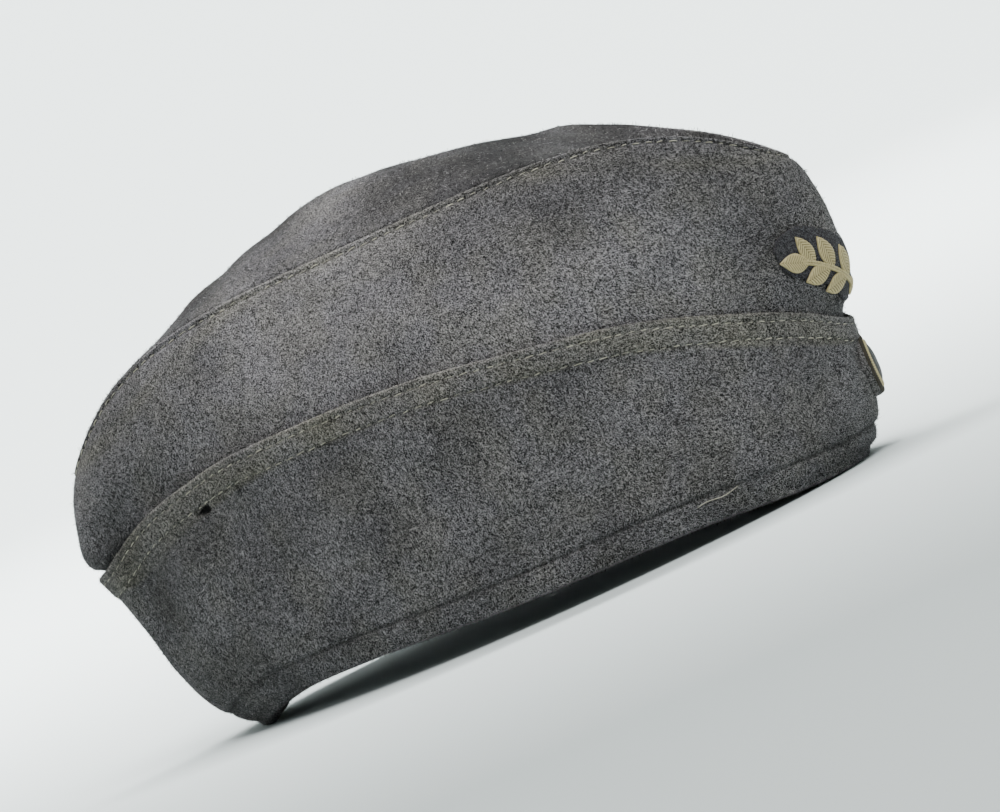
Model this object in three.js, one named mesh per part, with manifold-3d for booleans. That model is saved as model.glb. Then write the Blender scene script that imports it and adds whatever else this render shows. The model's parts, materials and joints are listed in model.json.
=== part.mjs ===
// A wool garrison cap: two crown sides and a boat-shaped top insert, with a turn-up folded round the rim,
// a sewn leaf badge on the front of the crown and a round cockade on the front of the turn-up.
// Millimetres. +X is the front, +Y the wearer's left and +Z up. The fold round the rim rests on z = 0.

import * as THREE from "three";
import Module from "manifold-3d";

const wasm = await Module();
wasm.setup();

// Cloth
const CLOTH = 1.8; // thickness of the fulled wool
const GAP = 0.3; // clearance between pieces that touch
const FOLD_CHAMFER = 1.0; // rounding of the turn-up's fold where it rests

// Crown
const RIM_LENGTH = 225; // crown's lower edge, centre back to centre front
const RIM_WIDTH = 155;
const RIM_ARCH = 10; // how far the rim lifts over the ears
const BACK_REACH = 33; // how far the crown swells out behind its lower edge
const FRONT_REACH = 22; // the same at the front
const TOP_WIDTH = 96; // across the two crown seams at the widest
const SEAM_HEIGHT = 139.3; // crown seams at the middle of each side
const BACK_TIP_HEIGHT = 106; // where the top insert ends at the back
const FRONT_TIP_HEIGHT = 105; // where it ends at the front
const TIP_BEND = { back: 4.6, front: 3.7 }; // how late the seam turns down to its tips
const DOME_RISE = 19; // how far the head lifts the top insert above its seams
const VALLEY_SHARPNESS = 1.3; // 2 is a round valley in the top insert, 1 a sharp fold
const LEFT_RIDGE_LIFT = 6.8; // how much higher the left seam stands beside the front valley

// Turn-up
const TURNUP_HEIGHT = 91.5; // its highest, above the floor
const TURNUP_STAND = 0.9; // how far its upper edge stands off the crown
const HEM_HEIGHT = 9; // inner leg of the fold, up to the row of stitching

// Badge on the crown
const BADGE_HALF_WIDTH = 33; // along the cloth, from the centre front
const BADGE_FOOT = 54; // lowest embroidery, above the floor
const BADGE_HEIGHT = 26;
const BADGE_CLOTH = 1.1; // thickness of the backing
const LEAF_LENGTH = 12.5;
const LEAF_WIDTH = 5.2;
const LEAF_POINT = 0.9; // under 1 the leaf is broadest nearer its base
const LEAF_RISE = 1.2; // thickness of the stitching along a leaf's middle
const LEAF_EDGE = 0.5; // and at its edge
const STEM_WIDTH = 1.8;
const STEM_START = 0.11; // where the stems start and end, as shares of the half width
const STEM_END = 0.78;
const KNOT_RADIUS = 2.6;

// Cockade on the turn-up
const COCKADE_RADIUS = 11;
const COCKADE_HEIGHT = 27; // its centre, above the floor
const COCKADE_PAD = 1.0; // least thickness of the backing
const COCKADE_RINGS = [
  { name: "cockade_rim", middle: 0.875, half: 0.115, rise: 1.5 },
  { name: "cockade_ring", middle: 0.545, half: 0.175, rise: 1.2 },
];
const COCKADE_CENTRE = { share: 0.33, rise: 1.4 };

// Crown outline at each height: height is the share from the rim to the seam, back and front are shares of
// BACK_REACH and FRONT_REACH, spread is the share from TOP_WIDTH to RIM_WIDTH, and point narrows the ends.
const LEVELS = [
  { height: 0.0, back: 0.0, front: 0.0, spread: 1.0, point: 0.13 },
  { height: 0.1, back: 0.34, front: 0.34, spread: 1.03, point: 0.18 },
  { height: 0.25, back: 0.56, front: 0.5, spread: 1.05, point: 0.27 },
  { height: 0.42, back: 0.67, front: 0.55, spread: 1.03, point: 0.38 },
  { height: 0.55, back: 0.76, front: 0.88, spread: 0.97, point: 0.46 },
  { height: 0.67, back: 0.88, front: 1.0, spread: 0.86, point: 0.5 },
  { height: 0.78, back: 1.0, front: 1.02, spread: 0.67, point: 0.5 },
  { height: 0.89, back: 0.92, front: 0.97, spread: 0.4, point: 0.49 },
  { height: 0.95, back: 0.83, front: 0.9, spread: 0.21, point: 0.48 },
  { height: 1.0, back: 0.73, front: 0.76, spread: 0.0, point: 0.46 },
];

// Along each side, share 0 at the centre back to 1 at the centre front. rim is a share of RIM_ARCH, edge of
// TURNUP_HEIGHT, dome of DOME_RISE and ridge of LEFT_RIDGE_LIFT.
const STATIONS = [
  { share: 0.0, rim: 0.0, edge: 0.764, dome: 0.0, ridge: 0.0 },
  { share: 0.06, rim: 0.0, edge: 0.78, dome: 0.05, ridge: 0.0 },
  { share: 0.11, rim: 0.34, edge: 0.82, dome: 0.09, ridge: 0.0 },
  { share: 0.17, rim: 0.69, edge: 0.883, dome: 0.07, ridge: 0.0 },
  { share: 0.24, rim: 0.94, edge: 0.947, dome: 0.03, ridge: 0.0 },
  { share: 0.32, rim: 1.0, edge: 0.995, dome: 0.3, ridge: 0.0 },
  { share: 0.4, rim: 0.91, edge: 1.0, dome: 0.68, ridge: 0.0 },
  { share: 0.48, rim: 0.79, edge: 0.979, dome: 0.97, ridge: 0.0 },
  { share: 0.54, rim: 0.74, edge: 0.938, dome: 0.84, ridge: 0.13 },
  { share: 0.6, rim: 0.69, edge: 0.89, dome: 0.42, ridge: 0.6 },
  { share: 0.65, rim: 0.6, edge: 0.845, dome: 0.0, ridge: 1.0 },
  { share: 0.7, rim: 0.46, edge: 0.783, dome: -0.45, ridge: 0.72 },
  { share: 0.78, rim: 0.19, edge: 0.681, dome: -0.75, ridge: 0.3 },
  { share: 0.86, rim: 0.03, edge: 0.59, dome: -0.6, ridge: 0.1 },
  { share: 0.9, rim: 0.0, edge: 0.551, dome: -0.4, ridge: 0.0 },
  { share: 0.95, rim: 0.0, edge: 0.515, dome: -0.03, ridge: 0.0 },
  { share: 1.0, rim: 0.0, edge: 0.5, dome: 0.0, ridge: 0.0 },
];

// Leaves of one sprig: out is where a leaf leaves the stem, as a share of the badge's half width, turn its
// angle above the horizontal in degrees, and size its share of LEAF_LENGTH.
const LEAVES = [
  { out: 0.16, turn: 82, size: 0.84 },
  { out: 0.2, turn: -8, size: 0.84 },
  { out: 0.4, turn: 78, size: 0.9 },
  { out: 0.44, turn: -4, size: 0.9 },
  { out: 0.63, turn: 72, size: 0.84 },
  { out: 0.7, turn: 18, size: 0.95 },
];

// The badge's outline and stems: low and high bound the backing and stem is the stem's height, as shares of
// BADGE_HEIGHT above BADGE_FOOT.
const BADGE_ROWS = [
  { out: 0.0, low: -0.1, high: 0.42, stem: 0.06 },
  { out: 0.15, low: -0.08, high: 0.72, stem: 0.17 },
  { out: 0.4, low: 0.13, high: 0.93, stem: 0.37 },
  { out: 0.7, low: 0.36, high: 1.07, stem: 0.57 },
  { out: 0.95, low: 0.5, high: 1.02, stem: 0.68 },
  { out: 1.06, low: 0.64, high: 0.9, stem: 0.72 },
];

// Mesh fineness
const ALONG_STEPS = 28;
const TURNUP_ROWS = 8; // rows of points from its fold to its upper edge
const UPPER_ROWS = 6;
const TOP_STEPS = 12;
const BADGE_STEPS = 20;
const LEAF_STEPS = 5;
const DISC_STEPS = 8;
const RING_SIDES = 6;
const RING_STEPS = 28;
const WALK = 0.01; // step in angle when measuring along the cloth

const SIDES = { right: -1, left: 1 };
const WOOL = new THREE.MeshStandardMaterial({ color: 0x4e5156, roughness: 0.95, metalness: 0 });
const BADGE_WOOL = new THREE.MeshStandardMaterial({ color: 0x3b3d42, roughness: 0.95, metalness: 0 });
const THREAD = new THREE.MeshStandardMaterial({ color: 0xd2c9a8, roughness: 0.7, metalness: 0 });

const mix = (a, b, share) => a + (b - a) * share;

// One column of a table at a place along it: a cubic through its rows that never overshoots them.
function read(table, key, column, place) {
  const last = table.length - 1;
  const at = Math.min(Math.max(place, table[0][key]), table[last][key]);
  let i = 0;
  while (i < last - 1 && at > table[i + 1][key]) i += 1;
  const step = (k) => table[k + 1][key] - table[k][key];
  const slope = (k) => (table[k + 1][column] - table[k][column]) / step(k);
  const tangent = (k) => {
    if (k === 0) return slope(0);
    if (k === last) return slope(last - 1);
    const [a, b] = [slope(k - 1), slope(k)];
    return a * b <= 0 ? 0 : (2 * a * b) / (a + b);
  };
  const h = step(i);
  const s = (at - table[i][key]) / h;
  return (
    (1 + 2 * s) * (1 - s) ** 2 * table[i][column] +
    s * (1 - s) ** 2 * h * tangent(i) +
    s ** 2 * (3 - 2 * s) * table[i + 1][column] +
    s ** 2 * (s - 1) * h * tangent(i + 1)
  );
}

// The place along a side as a share, for an angle that may run a little past either end.
const shareOf = (angle) => Math.acos(Math.cos(angle)) / Math.PI;
const station = (column, angle) => read(STATIONS, "share", column, shareOf(angle));
const rimHeight = (angle) => RIM_ARCH * station("rim", angle);
const footHeight = (angle) => rimHeight(angle) + CLOTH + GAP;

function seamHeight(angle, side) {
  const end = Math.cos(angle) > 0 ? "back" : "front";
  const tip = end === "back" ? BACK_TIP_HEIGHT : FRONT_TIP_HEIGHT;
  const bend = Math.abs(Math.cos(angle)) ** TIP_BEND[end];
  const lift = side === SIDES.left ? LEFT_RIDGE_LIFT * station("ridge", angle) : 0;
  return mix(SEAM_HEIGHT, tip, bend) + lift;
}

// The outside of a crown side. angle runs from 0 at the centre back to PI at the centre front, and height
// from 0 at the lower edge to 1 at the seam with the top insert.
function crown(angle, height, side) {
  const level = (column) => read(LEVELS, "height", column, height);
  const along = Math.cos(angle);
  const reach = along > 0 ? BACK_REACH * level("back") : FRONT_REACH * level("front");
  const half = mix(TOP_WIDTH, RIM_WIDTH, level("spread")) / 2;
  return new THREE.Vector3(
    -along * (RIM_LENGTH / 2 + reach),
    side * half * Math.sin(angle) * (1 - level("point") * along ** 2),
    mix(footHeight(angle), seamHeight(angle, side), height),
  );
}

const NUDGE = 1e-3;
function slopes(surface, a, b) {
  const across = surface(a + NUDGE, b).sub(surface(a - NUDGE, b));
  const low = Math.max(b - NUDGE, 0);
  const high = Math.min(b + NUDGE, 1);
  return [across, surface(a, high).sub(surface(a, low))];
}

function crownNormal(angle, height, side) {
  const [along, up] = slopes((a, h) => crown(a, h, side), angle, height);
  return along.cross(up).multiplyScalar(-side).normalize();
}

// A point off the crown's outside by a distance along its normal, kept clear of the centre seam.
function offCrown(angle, height, side, distance) {
  const point = crown(angle, height, side).addScaledVector(crownNormal(angle, height, side), distance);
  return clearOfCentre(point, side);
}

function clearOfCentre(point, side) {
  point.y = side * Math.max(side * point.y, GAP / 2);
  return point;
}

// A place on the crown: distance along the cloth from the centre front, left positive, and height above the
// floor, standing a little off the cloth.
function onCrownFront(distance, z, stand) {
  const side = distance < 0 ? SIDES.right : SIDES.left;
  const at = (angle) => crown(angle, shareAt(angle, side, z), side);
  let angle = Math.PI;
  let point = at(angle);
  let left = Math.abs(distance);
  while (left > 0) {
    const next = at(angle - WALK);
    const length = next.distanceTo(point);
    angle -= WALK * Math.min(1, left / length);
    left -= length;
    point = next;
  }
  const height = shareAt(angle, side, z);
  return crown(angle, height, side).addScaledVector(crownNormal(angle, height, side), stand);
}

// The height share on the crown that lies at z, on the line at that angle.
function shareAt(angle, side, z) {
  const foot = footHeight(angle);
  return (z - foot) / (seamHeight(angle, side) - foot);
}

const edgeShare = (angle, side) => shareAt(angle, side, TURNUP_HEIGHT * station("edge", angle));
const angles = Array.from({ length: ALONG_STEPS + 1 }, (_, i) => (Math.PI * i) / ALONG_STEPS);

// The top insert's outside. across runs from 0 at the right seam to 1 at the left one.
function insert(angle, across) {
  const right = crown(angle, 1, SIDES.right);
  const left = crown(angle, 1, SIDES.left);
  const side = Math.abs(2 * across - 1);
  const rise = DOME_RISE * station("dome", angle);
  const shape = 1 - side ** (rise > 0 ? 2 : VALLEY_SHARPNESS);
  const point = right.lerp(left, across);
  point.z += rise * shape;
  return point;
}

function insertNormal(angle, across) {
  const [along, over] = slopes(insert, angle, across);
  return along.cross(over).normalize();
}

// Both sheets end at the crown seam in a mitre. This gives where the outside and inside of each one stop. The
// insert's direction there is taken towards a place a little way in, and a little away from the tips.
const MITRE_ACROSS = 0.15;
const MITRE_ALONG = 0.12;
function mitre(angle, side) {
  const seam = crown(angle, 1, side);
  const tangent = crown(angle + NUDGE, 1, side).sub(crown(angle - NUDGE, 1, side)).normalize();
  const inward = insert(angle + MITRE_ALONG * Math.cos(angle), 0.5 + side * (0.5 - MITRE_ACROSS)).sub(seam);
  inward.addScaledVector(tangent, -inward.dot(tangent)).normalize();
  const sideNormal = crownNormal(angle, 1, side);
  const up = new THREE.Vector3().crossVectors(sideNormal, tangent).normalize();
  if (up.z < 0) up.negate();
  const topNormal = new THREE.Vector3().crossVectors(inward, tangent).normalize();
  if (topNormal.dot(sideNormal) + topNormal.dot(up) < 0) topNormal.negate();
  const into = sideNormal.clone().add(topNormal).negate().normalize();
  const depth = CLOTH / Math.abs(into.dot(sideNormal));
  const across = up.clone().add(inward).normalize();
  const sideEdge = seam.clone().addScaledVector(up, -GAP / 2 / up.dot(across));
  const topEdge = seam.clone().addScaledVector(inward, GAP / 2 / inward.dot(across));
  return {
    side: [sideEdge, sideEdge.clone().addScaledVector(into, depth)],
    top: [topEdge, topEdge.clone().addScaledVector(into, depth)],
  };
}

// A closed wall between two grids of points, outside[i][j] and inside[i][j].
function wall(outside, inside) {
  const points = [];
  const places = new Map();
  const indexOf = (p) => {
    const key = p.toArray().map((c) => Math.round(c * 1000)).join();
    if (!places.has(key)) {
      places.set(key, points.length);
      points.push(p);
    }
    return places.get(key);
  };
  const triangles = [];
  const triangle = (...corners) => {
    if (new Set(corners).size === 3) triangles.push(corners);
  };
  const quad = (a, b, c, d) => {
    const [ia, ib, ic, id] = [a, b, c, d].map(indexOf);
    triangle(ia, ib, ic);
    triangle(ia, ic, id);
  };
  const rows = outside.length - 1;
  const columns = outside[0].length - 1;
  for (let i = 0; i < rows; i += 1) {
    for (let j = 0; j < columns; j += 1) {
      quad(outside[i][j], outside[i + 1][j], outside[i + 1][j + 1], outside[i][j + 1]);
      quad(inside[i][j], inside[i][j + 1], inside[i + 1][j + 1], inside[i + 1][j]);
    }
    quad(outside[i][0], inside[i][0], inside[i + 1][0], outside[i + 1][0]);
    quad(outside[i][columns], outside[i + 1][columns], inside[i + 1][columns], inside[i][columns]);
  }
  for (let j = 0; j < columns; j += 1) {
    quad(outside[0][j], outside[0][j + 1], inside[0][j + 1], inside[0][j]);
    quad(outside[rows][j], inside[rows][j], inside[rows][j + 1], outside[rows][j + 1]);
  }
  return facingOut(points, triangles);
}

function facingOut(points, triangles) {
  const volume = triangles.reduce(
    (sum, [a, b, c]) => sum + points[a].dot(new THREE.Vector3().crossVectors(points[b], points[c])),
    0,
  );
  const turned = volume < 0 ? triangles.map(([a, b, c]) => [a, c, b]) : triangles;
  const geometry = new THREE.BufferGeometry();
  geometry.setAttribute("position", new THREE.Float32BufferAttribute(points.flatMap((p) => p.toArray()), 3));
  geometry.setIndex(turned.flat());
  geometry.computeVertexNormals();
  return geometry;
}

const cap = new THREE.Group();
function add(name, geometry, material) {
  const mesh = new THREE.Mesh(geometry, material);
  mesh.name = name;
  cap.add(mesh);
}

// Heights of the rows that crown and turn-up share, from the lower edge to the turn-up's upper one.
function sharedRows(angle, side) {
  const hem = shareAt(angle, side, rimHeight(angle) + HEM_HEIGHT);
  const edge = edgeShare(angle, side);
  const above = Array.from({ length: TURNUP_ROWS - 1 }, (_, j) => mix(hem, edge, j / (TURNUP_ROWS - 2)));
  return [0, ...above];
}

// Crown sides: one layer of wool each, mitred against the top insert.
function crownSide(side) {
  const outside = [];
  const inside = [];
  for (const angle of angles) {
    const heights = sharedRows(angle, side);
    const edge = heights[heights.length - 1];
    for (let j = 1; j < UPPER_ROWS; j += 1) heights.push(mix(edge, 1, j / UPPER_ROWS));
    const [seamOut, seamIn] = mitre(angle, side).side;
    outside.push([...heights.map((h) => offCrown(angle, h, side, 0)), clearOfCentre(seamOut, side)]);
    inside.push([...heights.map((h) => offCrown(angle, h, side, -CLOTH)), clearOfCentre(seamIn, side)]);
  }
  return wall(outside, inside);
}

// A point at height z beside the crown's lower edge, at a distance from the cloth's outside.
function besideFoot(angle, side, distance, z) {
  const normal = crownNormal(angle, 0, side);
  const level = new THREE.Vector3(normal.x, normal.y, 0);
  const point = crown(angle, 0, side).addScaledVector(level, distance / level.lengthSq());
  point.z = z;
  return clearOfCentre(point, side);
}

// Turn-up: up the outside of the crown from its fold, and under the crown's edge to a short leg inside.
function turnUp(side) {
  const outside = [];
  const inside = [];
  const within = -CLOTH - GAP;
  for (const angle of angles) {
    const rim = rimHeight(angle);
    const heights = sharedRows(angle, side);
    const top = heights.length - 1;
    const outer = [];
    const inner = [];
    for (let j = top; j > 0; j -= 1) {
      const stand = GAP + TURNUP_STAND * (j / top) ** 2;
      outer.push(offCrown(angle, heights[j], side, stand + CLOTH));
      inner.push(offCrown(angle, heights[j], side, stand));
    }
    outer.push(besideFoot(angle, side, GAP + CLOTH, rim + FOLD_CHAMFER));
    inner.push(besideFoot(angle, side, GAP, rim + CLOTH + GAP));
    outer.push(besideFoot(angle, side, GAP + CLOTH - FOLD_CHAMFER, rim));
    inner.push(besideFoot(angle, side, GAP, rim + CLOTH));
    outer.push(besideFoot(angle, side, within - CLOTH + FOLD_CHAMFER, rim));
    inner.push(besideFoot(angle, side, within, rim + CLOTH));
    outer.push(besideFoot(angle, side, within - CLOTH, rim + FOLD_CHAMFER));
    inner.push(besideFoot(angle, side, within, rim + CLOTH + GAP));
    outer.push(offCrown(angle, heights[1], side, within - CLOTH));
    inner.push(offCrown(angle, heights[1], side, within));
    outside.push(outer);
    inside.push(inner);
  }
  return wall(outside, inside);
}

// Top insert: a boat-shaped panel, lifted by the head at the back and folded into a valley in front. Its inside
// lies square to its outside, but near the narrow tips it follows the mitred edges.
const TIP_REACH = 0.6; // how far from the tips it does so, as the sine of the angle
function topInsert() {
  const outside = [];
  const inside = [];
  for (const angle of angles) {
    const right = mitre(angle, SIDES.right).top;
    const left = mitre(angle, SIDES.left).top;
    const isTip = Math.sin(angle) < NUDGE;
    const outer = [right[0]];
    const inner = [right[1]];
    for (let j = 1; j < TOP_STEPS; j += 1) {
      const across = j / TOP_STEPS;
      const point = insert(angle, across);
      const square = point.clone().addScaledVector(insertNormal(angle, across), -CLOTH);
      const mitred = right[1].clone().lerp(left[1], across);
      mitred.z += point.z - mix(right[0].z, left[0].z, across);
      outer.push(isTip ? right[0] : point);
      inner.push(isTip ? right[1] : mitred.lerp(square, Math.min(1, Math.sin(angle) / TIP_REACH)));
    }
    outer.push(isTip ? right[0] : left[0]);
    inner.push(isTip ? right[1] : left[1]);
    outside.push(outer);
    inside.push(inner);
  }
  return wall(outside, inside);
}

// A strip of the badge, from rows of [distance, z] pairs across it, with a height above the cloth for each.
function badgeStrip(rows, bottom, tops) {
  const lift = (row, heights) => row.map(([distance, z], j) => onCrownFront(distance, z, heights[j]));
  const outside = rows.map((row) => lift(row, tops.map((top) => bottom + top)));
  const inside = rows.map((row) => lift(row, tops.map(() => bottom)));
  return wall(outside, inside);
}

const badgeAt = (column, out) => BADGE_FOOT + BADGE_HEIGHT * read(BADGE_ROWS, "out", column, out);
const BADGE_STAND = 2 * GAP;
const STITCH_STAND = BADGE_STAND + BADGE_CLOTH + GAP;

function badgeBacking() {
  const widest = BADGE_ROWS[BADGE_ROWS.length - 1].out;
  const rows = [];
  for (let i = -BADGE_STEPS; i <= BADGE_STEPS; i += 1) {
    const out = (widest * i) / BADGE_STEPS;
    const [low, high] = ["low", "high"].map((column) => badgeAt(column, Math.abs(out)));
    rows.push([0, 0.25, 0.5, 0.75, 1].map((share) => [out * BADGE_HALF_WIDTH, mix(low, high, share)]));
  }
  return badgeStrip(rows, BADGE_STAND, rows[0].map(() => BADGE_CLOTH));
}

// One leaf, pointed at both ends and thickest along its middle.
function leaf({ out, turn, size }, side) {
  const angle = THREE.MathUtils.degToRad(turn);
  const rows = [];
  for (let i = 0; i <= LEAF_STEPS; i += 1) {
    const along = i / LEAF_STEPS;
    const half = (LEAF_WIDTH / 2) * size * Math.sin(Math.PI * along ** LEAF_POINT);
    const reach = along * size * LEAF_LENGTH;
    const place = (off) => [
      side * (out * BADGE_HALF_WIDTH + reach * Math.cos(angle) - off * Math.sin(angle)),
      badgeAt("stem", out) + reach * Math.sin(angle) + off * Math.cos(angle),
    ];
    rows.push([place(-half), place(0), place(half)]);
  }
  return badgeStrip(rows, STITCH_STAND, [LEAF_EDGE, LEAF_RISE, LEAF_EDGE]);
}

function stem(side) {
  const rows = [];
  for (let i = 0; i <= LEAF_STEPS; i += 1) {
    const out = mix(STEM_START, STEM_END, i / LEAF_STEPS);
    const middle = badgeAt("stem", out);
    rows.push([-0.5, 0, 0.5].map((off) => [side * out * BADGE_HALF_WIDTH, middle + off * STEM_WIDTH]));
  }
  return badgeStrip(rows, STITCH_STAND, [LEAF_EDGE, LEAF_RISE, LEAF_EDGE]);
}

function solid(geometry) {
  return new wasm.Manifold(
    new wasm.Mesh({
      numProp: 3,
      vertProperties: Float32Array.from(geometry.getAttribute("position").array),
      triVerts: Uint32Array.from(geometry.getIndex().array),
    }),
  );
}

// The stem with its leaves, joined to one body.
function sprig(side) {
  const joined = LEAVES.reduce((body, row) => body.add(solid(leaf(row, side))), solid(stem(side)));
  const { vertProperties, triVerts } = joined.getMesh();
  const geometry = new THREE.BufferGeometry();
  geometry.setAttribute("position", new THREE.BufferAttribute(vertProperties, 3));
  geometry.setIndex(new THREE.BufferAttribute(triVerts, 1));
  geometry.computeVertexNormals();
  return geometry;
}

// A square grid drawn out to a round one of radius 1, as rows of [y, z].
const DISC = Array.from({ length: DISC_STEPS + 1 }, (_, i) =>
  Array.from({ length: DISC_STEPS + 1 }, (__, j) => {
    const [a, b] = [i, j].map((k) => (2 * k) / DISC_STEPS - 1);
    return [a * Math.sqrt(1 - b ** 2 / 2), b * Math.sqrt(1 - a ** 2 / 2)];
  }),
);

function badgeKnot() {
  const middle = badgeAt("stem", 0);
  const rows = DISC.map((row) => row.map(([y, z]) => [y * KNOT_RADIUS, middle + z * KNOT_RADIUS]));
  return badgeStrip(rows, STITCH_STAND, rows[0].map(() => LEAF_RISE));
}

// How far forward the turn-up's outside is at y across and z up, on the way round from the centre front.
function turnUpFront(y, z) {
  const side = y < 0 ? SIDES.right : SIDES.left;
  const at = (angle) => {
    const height = shareAt(angle, side, z);
    const stand = TURNUP_STAND * Math.min(1, height / edgeShare(angle, side)) ** 2;
    return offCrown(angle, height, side, GAP + CLOTH + stand);
  };
  let angle = Math.PI;
  while (Math.abs(at(angle).y) < Math.abs(y)) angle -= WALK;
  return at(angle).x;
}

const cockadeFace = turnUpFront(0, COCKADE_HEIGHT + COCKADE_RADIUS) + 2 * GAP + COCKADE_PAD;

// The cockade's backing: flat in front, and shaped to the turn-up behind.
function cockadeBacking() {
  const at = (forward) => (row) =>
    row.map(([a, b]) => {
      const [y, z] = [a * COCKADE_RADIUS, COCKADE_HEIGHT + b * COCKADE_RADIUS];
      return new THREE.Vector3(forward(y, z), y, z);
    });
  return wall(DISC.map(at(() => cockadeFace)), DISC.map(at((y, z) => turnUpFront(y, z) + 2 * GAP)));
}

// A round piece on the cockade's face, turned to face the front and flattened to its rise.
function onCockade(geometry, flatten, rise) {
  return geometry
    .scale(1, 1, flatten)
    .rotateY(Math.PI / 2)
    .translate(cockadeFace + GAP + rise / 2, 0, COCKADE_HEIGHT);
}

for (const [name, side] of Object.entries(SIDES)) {
  add(`crown_side_${name}`, crownSide(side), WOOL);
  add(`turn_up_${name}`, turnUp(side), WOOL);
  add(`badge_sprig_${name}`, sprig(side), THREAD);
}
add("crown_top", topInsert(), WOOL);
add("badge_backing", badgeBacking(), BADGE_WOOL);
add("badge_knot", badgeKnot(), THREAD);
add("cockade_backing", cockadeBacking(), BADGE_WOOL);
for (const { name, middle, half, rise } of COCKADE_RINGS) {
  const tube = half * COCKADE_RADIUS;
  const ring = new THREE.TorusGeometry(middle * COCKADE_RADIUS, tube, RING_SIDES, RING_STEPS);
  add(name, onCockade(ring, rise / 2 / tube, rise), name === "cockade_ring" ? THREAD : BADGE_WOOL);
}
const centreRadius = COCKADE_CENTRE.share * COCKADE_RADIUS;
const centre = new THREE.SphereGeometry(centreRadius, RING_STEPS / 2, RING_SIDES);
const centreFlatten = COCKADE_CENTRE.rise / 2 / centreRadius;
add("cockade_centre", onCockade(centre, centreFlatten, COCKADE_CENTRE.rise), BADGE_WOOL);

// The origin is on the floor, under the middle of the cap's overall length.
const overall = new THREE.Box3().setFromObject(cap);
cap.position.x = -(overall.min.x + overall.max.x) / 2;

export default cap;
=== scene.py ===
# A grey wool garrison cap, resting on its folded rim. Sizes are in millimetres until a mesh is made.
# +X is the front of the cap, +Y the wearer's left and +Z up.
import json
import math

import bmesh
import bpy
import numpy as np
from mathutils import Matrix, Vector

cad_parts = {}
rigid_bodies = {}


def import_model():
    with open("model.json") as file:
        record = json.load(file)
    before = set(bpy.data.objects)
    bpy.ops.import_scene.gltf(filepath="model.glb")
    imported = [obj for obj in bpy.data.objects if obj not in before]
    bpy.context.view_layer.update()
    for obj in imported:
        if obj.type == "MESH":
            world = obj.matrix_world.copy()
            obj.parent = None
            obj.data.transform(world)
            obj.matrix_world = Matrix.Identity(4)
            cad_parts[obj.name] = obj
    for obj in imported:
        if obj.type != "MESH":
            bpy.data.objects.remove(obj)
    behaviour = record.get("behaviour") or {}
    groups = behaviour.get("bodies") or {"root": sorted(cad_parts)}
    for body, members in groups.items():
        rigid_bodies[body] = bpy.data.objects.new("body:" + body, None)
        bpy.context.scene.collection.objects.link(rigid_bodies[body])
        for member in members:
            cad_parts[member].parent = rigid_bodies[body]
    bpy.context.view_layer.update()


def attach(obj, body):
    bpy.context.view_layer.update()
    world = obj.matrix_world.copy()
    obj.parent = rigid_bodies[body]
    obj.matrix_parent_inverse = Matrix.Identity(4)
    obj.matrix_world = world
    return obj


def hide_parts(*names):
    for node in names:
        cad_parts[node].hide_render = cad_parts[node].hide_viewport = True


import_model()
MM = 0.001

# Camera: a long lens from the wearer's right, a little above the floor. It is rolled, because the photograph
# shows the cap tipped back and the cap lies level here.
CAMERA_DISTANCE = 2000
CAMERA_TURN = math.radians(5.5)  # towards the front of the cap
CAMERA_RISE = math.radians(3)
CAMERA_ROLL = math.radians(24.5)
CAMERA_LENS = 210.96  # focal length on a sensor 36 mm wide
CAMERA_TARGET = Vector((10.43, 0, 66.5)) * MM

back = Vector((
    math.sin(CAMERA_TURN) * math.cos(CAMERA_RISE),
    -math.cos(CAMERA_TURN) * math.cos(CAMERA_RISE),
    math.sin(CAMERA_RISE),
))
right = Vector((0, 0, 1)).cross(back).normalized()
above = back.cross(right)
camera_x = math.cos(CAMERA_ROLL) * right - math.sin(CAMERA_ROLL) * above
camera_y = math.sin(CAMERA_ROLL) * right + math.cos(CAMERA_ROLL) * above
camera = bpy.data.objects.new("camera", bpy.data.cameras.new("camera"))
camera.data.lens = CAMERA_LENS
camera.data.sensor_width = 36
camera.data.clip_end = 100
place = CAMERA_TARGET + back * CAMERA_DISTANCE * MM
camera.matrix_world = Matrix.Translation(place) @ Matrix((camera_x, camera_y, back)).transposed().to_4x4()
bpy.context.scene.collection.objects.link(camera)
bpy.context.scene.camera = camera


# The room: a seamless sheet of pale paper that curves up all round. A broad soft light hangs above the cap,
# towards the camera, a second one lights the paper behind, and even light from all round fills the shadows.
def linear(code):
    """A hex sRGB colour as the shader's linear one."""
    parts = [int(code[i : i + 2], 16) / 255 for i in (0, 2, 4)]
    return [p / 12.92 if p <= 0.04045 else ((p + 0.055) / 1.055) ** 2.4 for p in parts] + [1]


def node(tree, kind, inputs, **settings):
    """Adds a shader node with its own settings. Each input gets a value or another node's output."""
    made = tree.nodes.new("ShaderNode" + kind)
    for name, value in settings.items():
        setattr(made, name, value)
    for socket, value in inputs.items():
        if isinstance(value, bpy.types.NodeSocket):
            tree.links.new(value, made.inputs[socket])
        else:
            made.inputs[socket].default_value = value
    return made


def new_material(name):
    material = bpy.data.materials.new(name)
    material.use_nodes = True
    return material, material.node_tree, material.node_tree.nodes["Principled BSDF"].inputs


def grid_faces(rows, columns, first=0):
    """Quads over a grid of points that are numbered row by row."""
    corner = first + np.arange(rows - 1)[:, None] * columns + np.arange(columns - 1)
    return np.stack([corner, corner + columns, corner + columns + 1, corner + 1], -1).reshape(-1, 4)


def make_object(name, points, faces, material):
    """A smooth mesh object from points in millimetres."""
    mesh = bpy.data.meshes.new(name)
    places = np.asarray(points).reshape(-1, 3) * MM
    mesh.from_pydata(places.tolist(), [], [list(map(int, face)) for face in faces])
    mesh.materials.append(material)
    mesh.shade_smooth()
    made = bpy.data.objects.new(name, mesh)
    bpy.context.scene.collection.objects.link(made)
    return made


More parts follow.
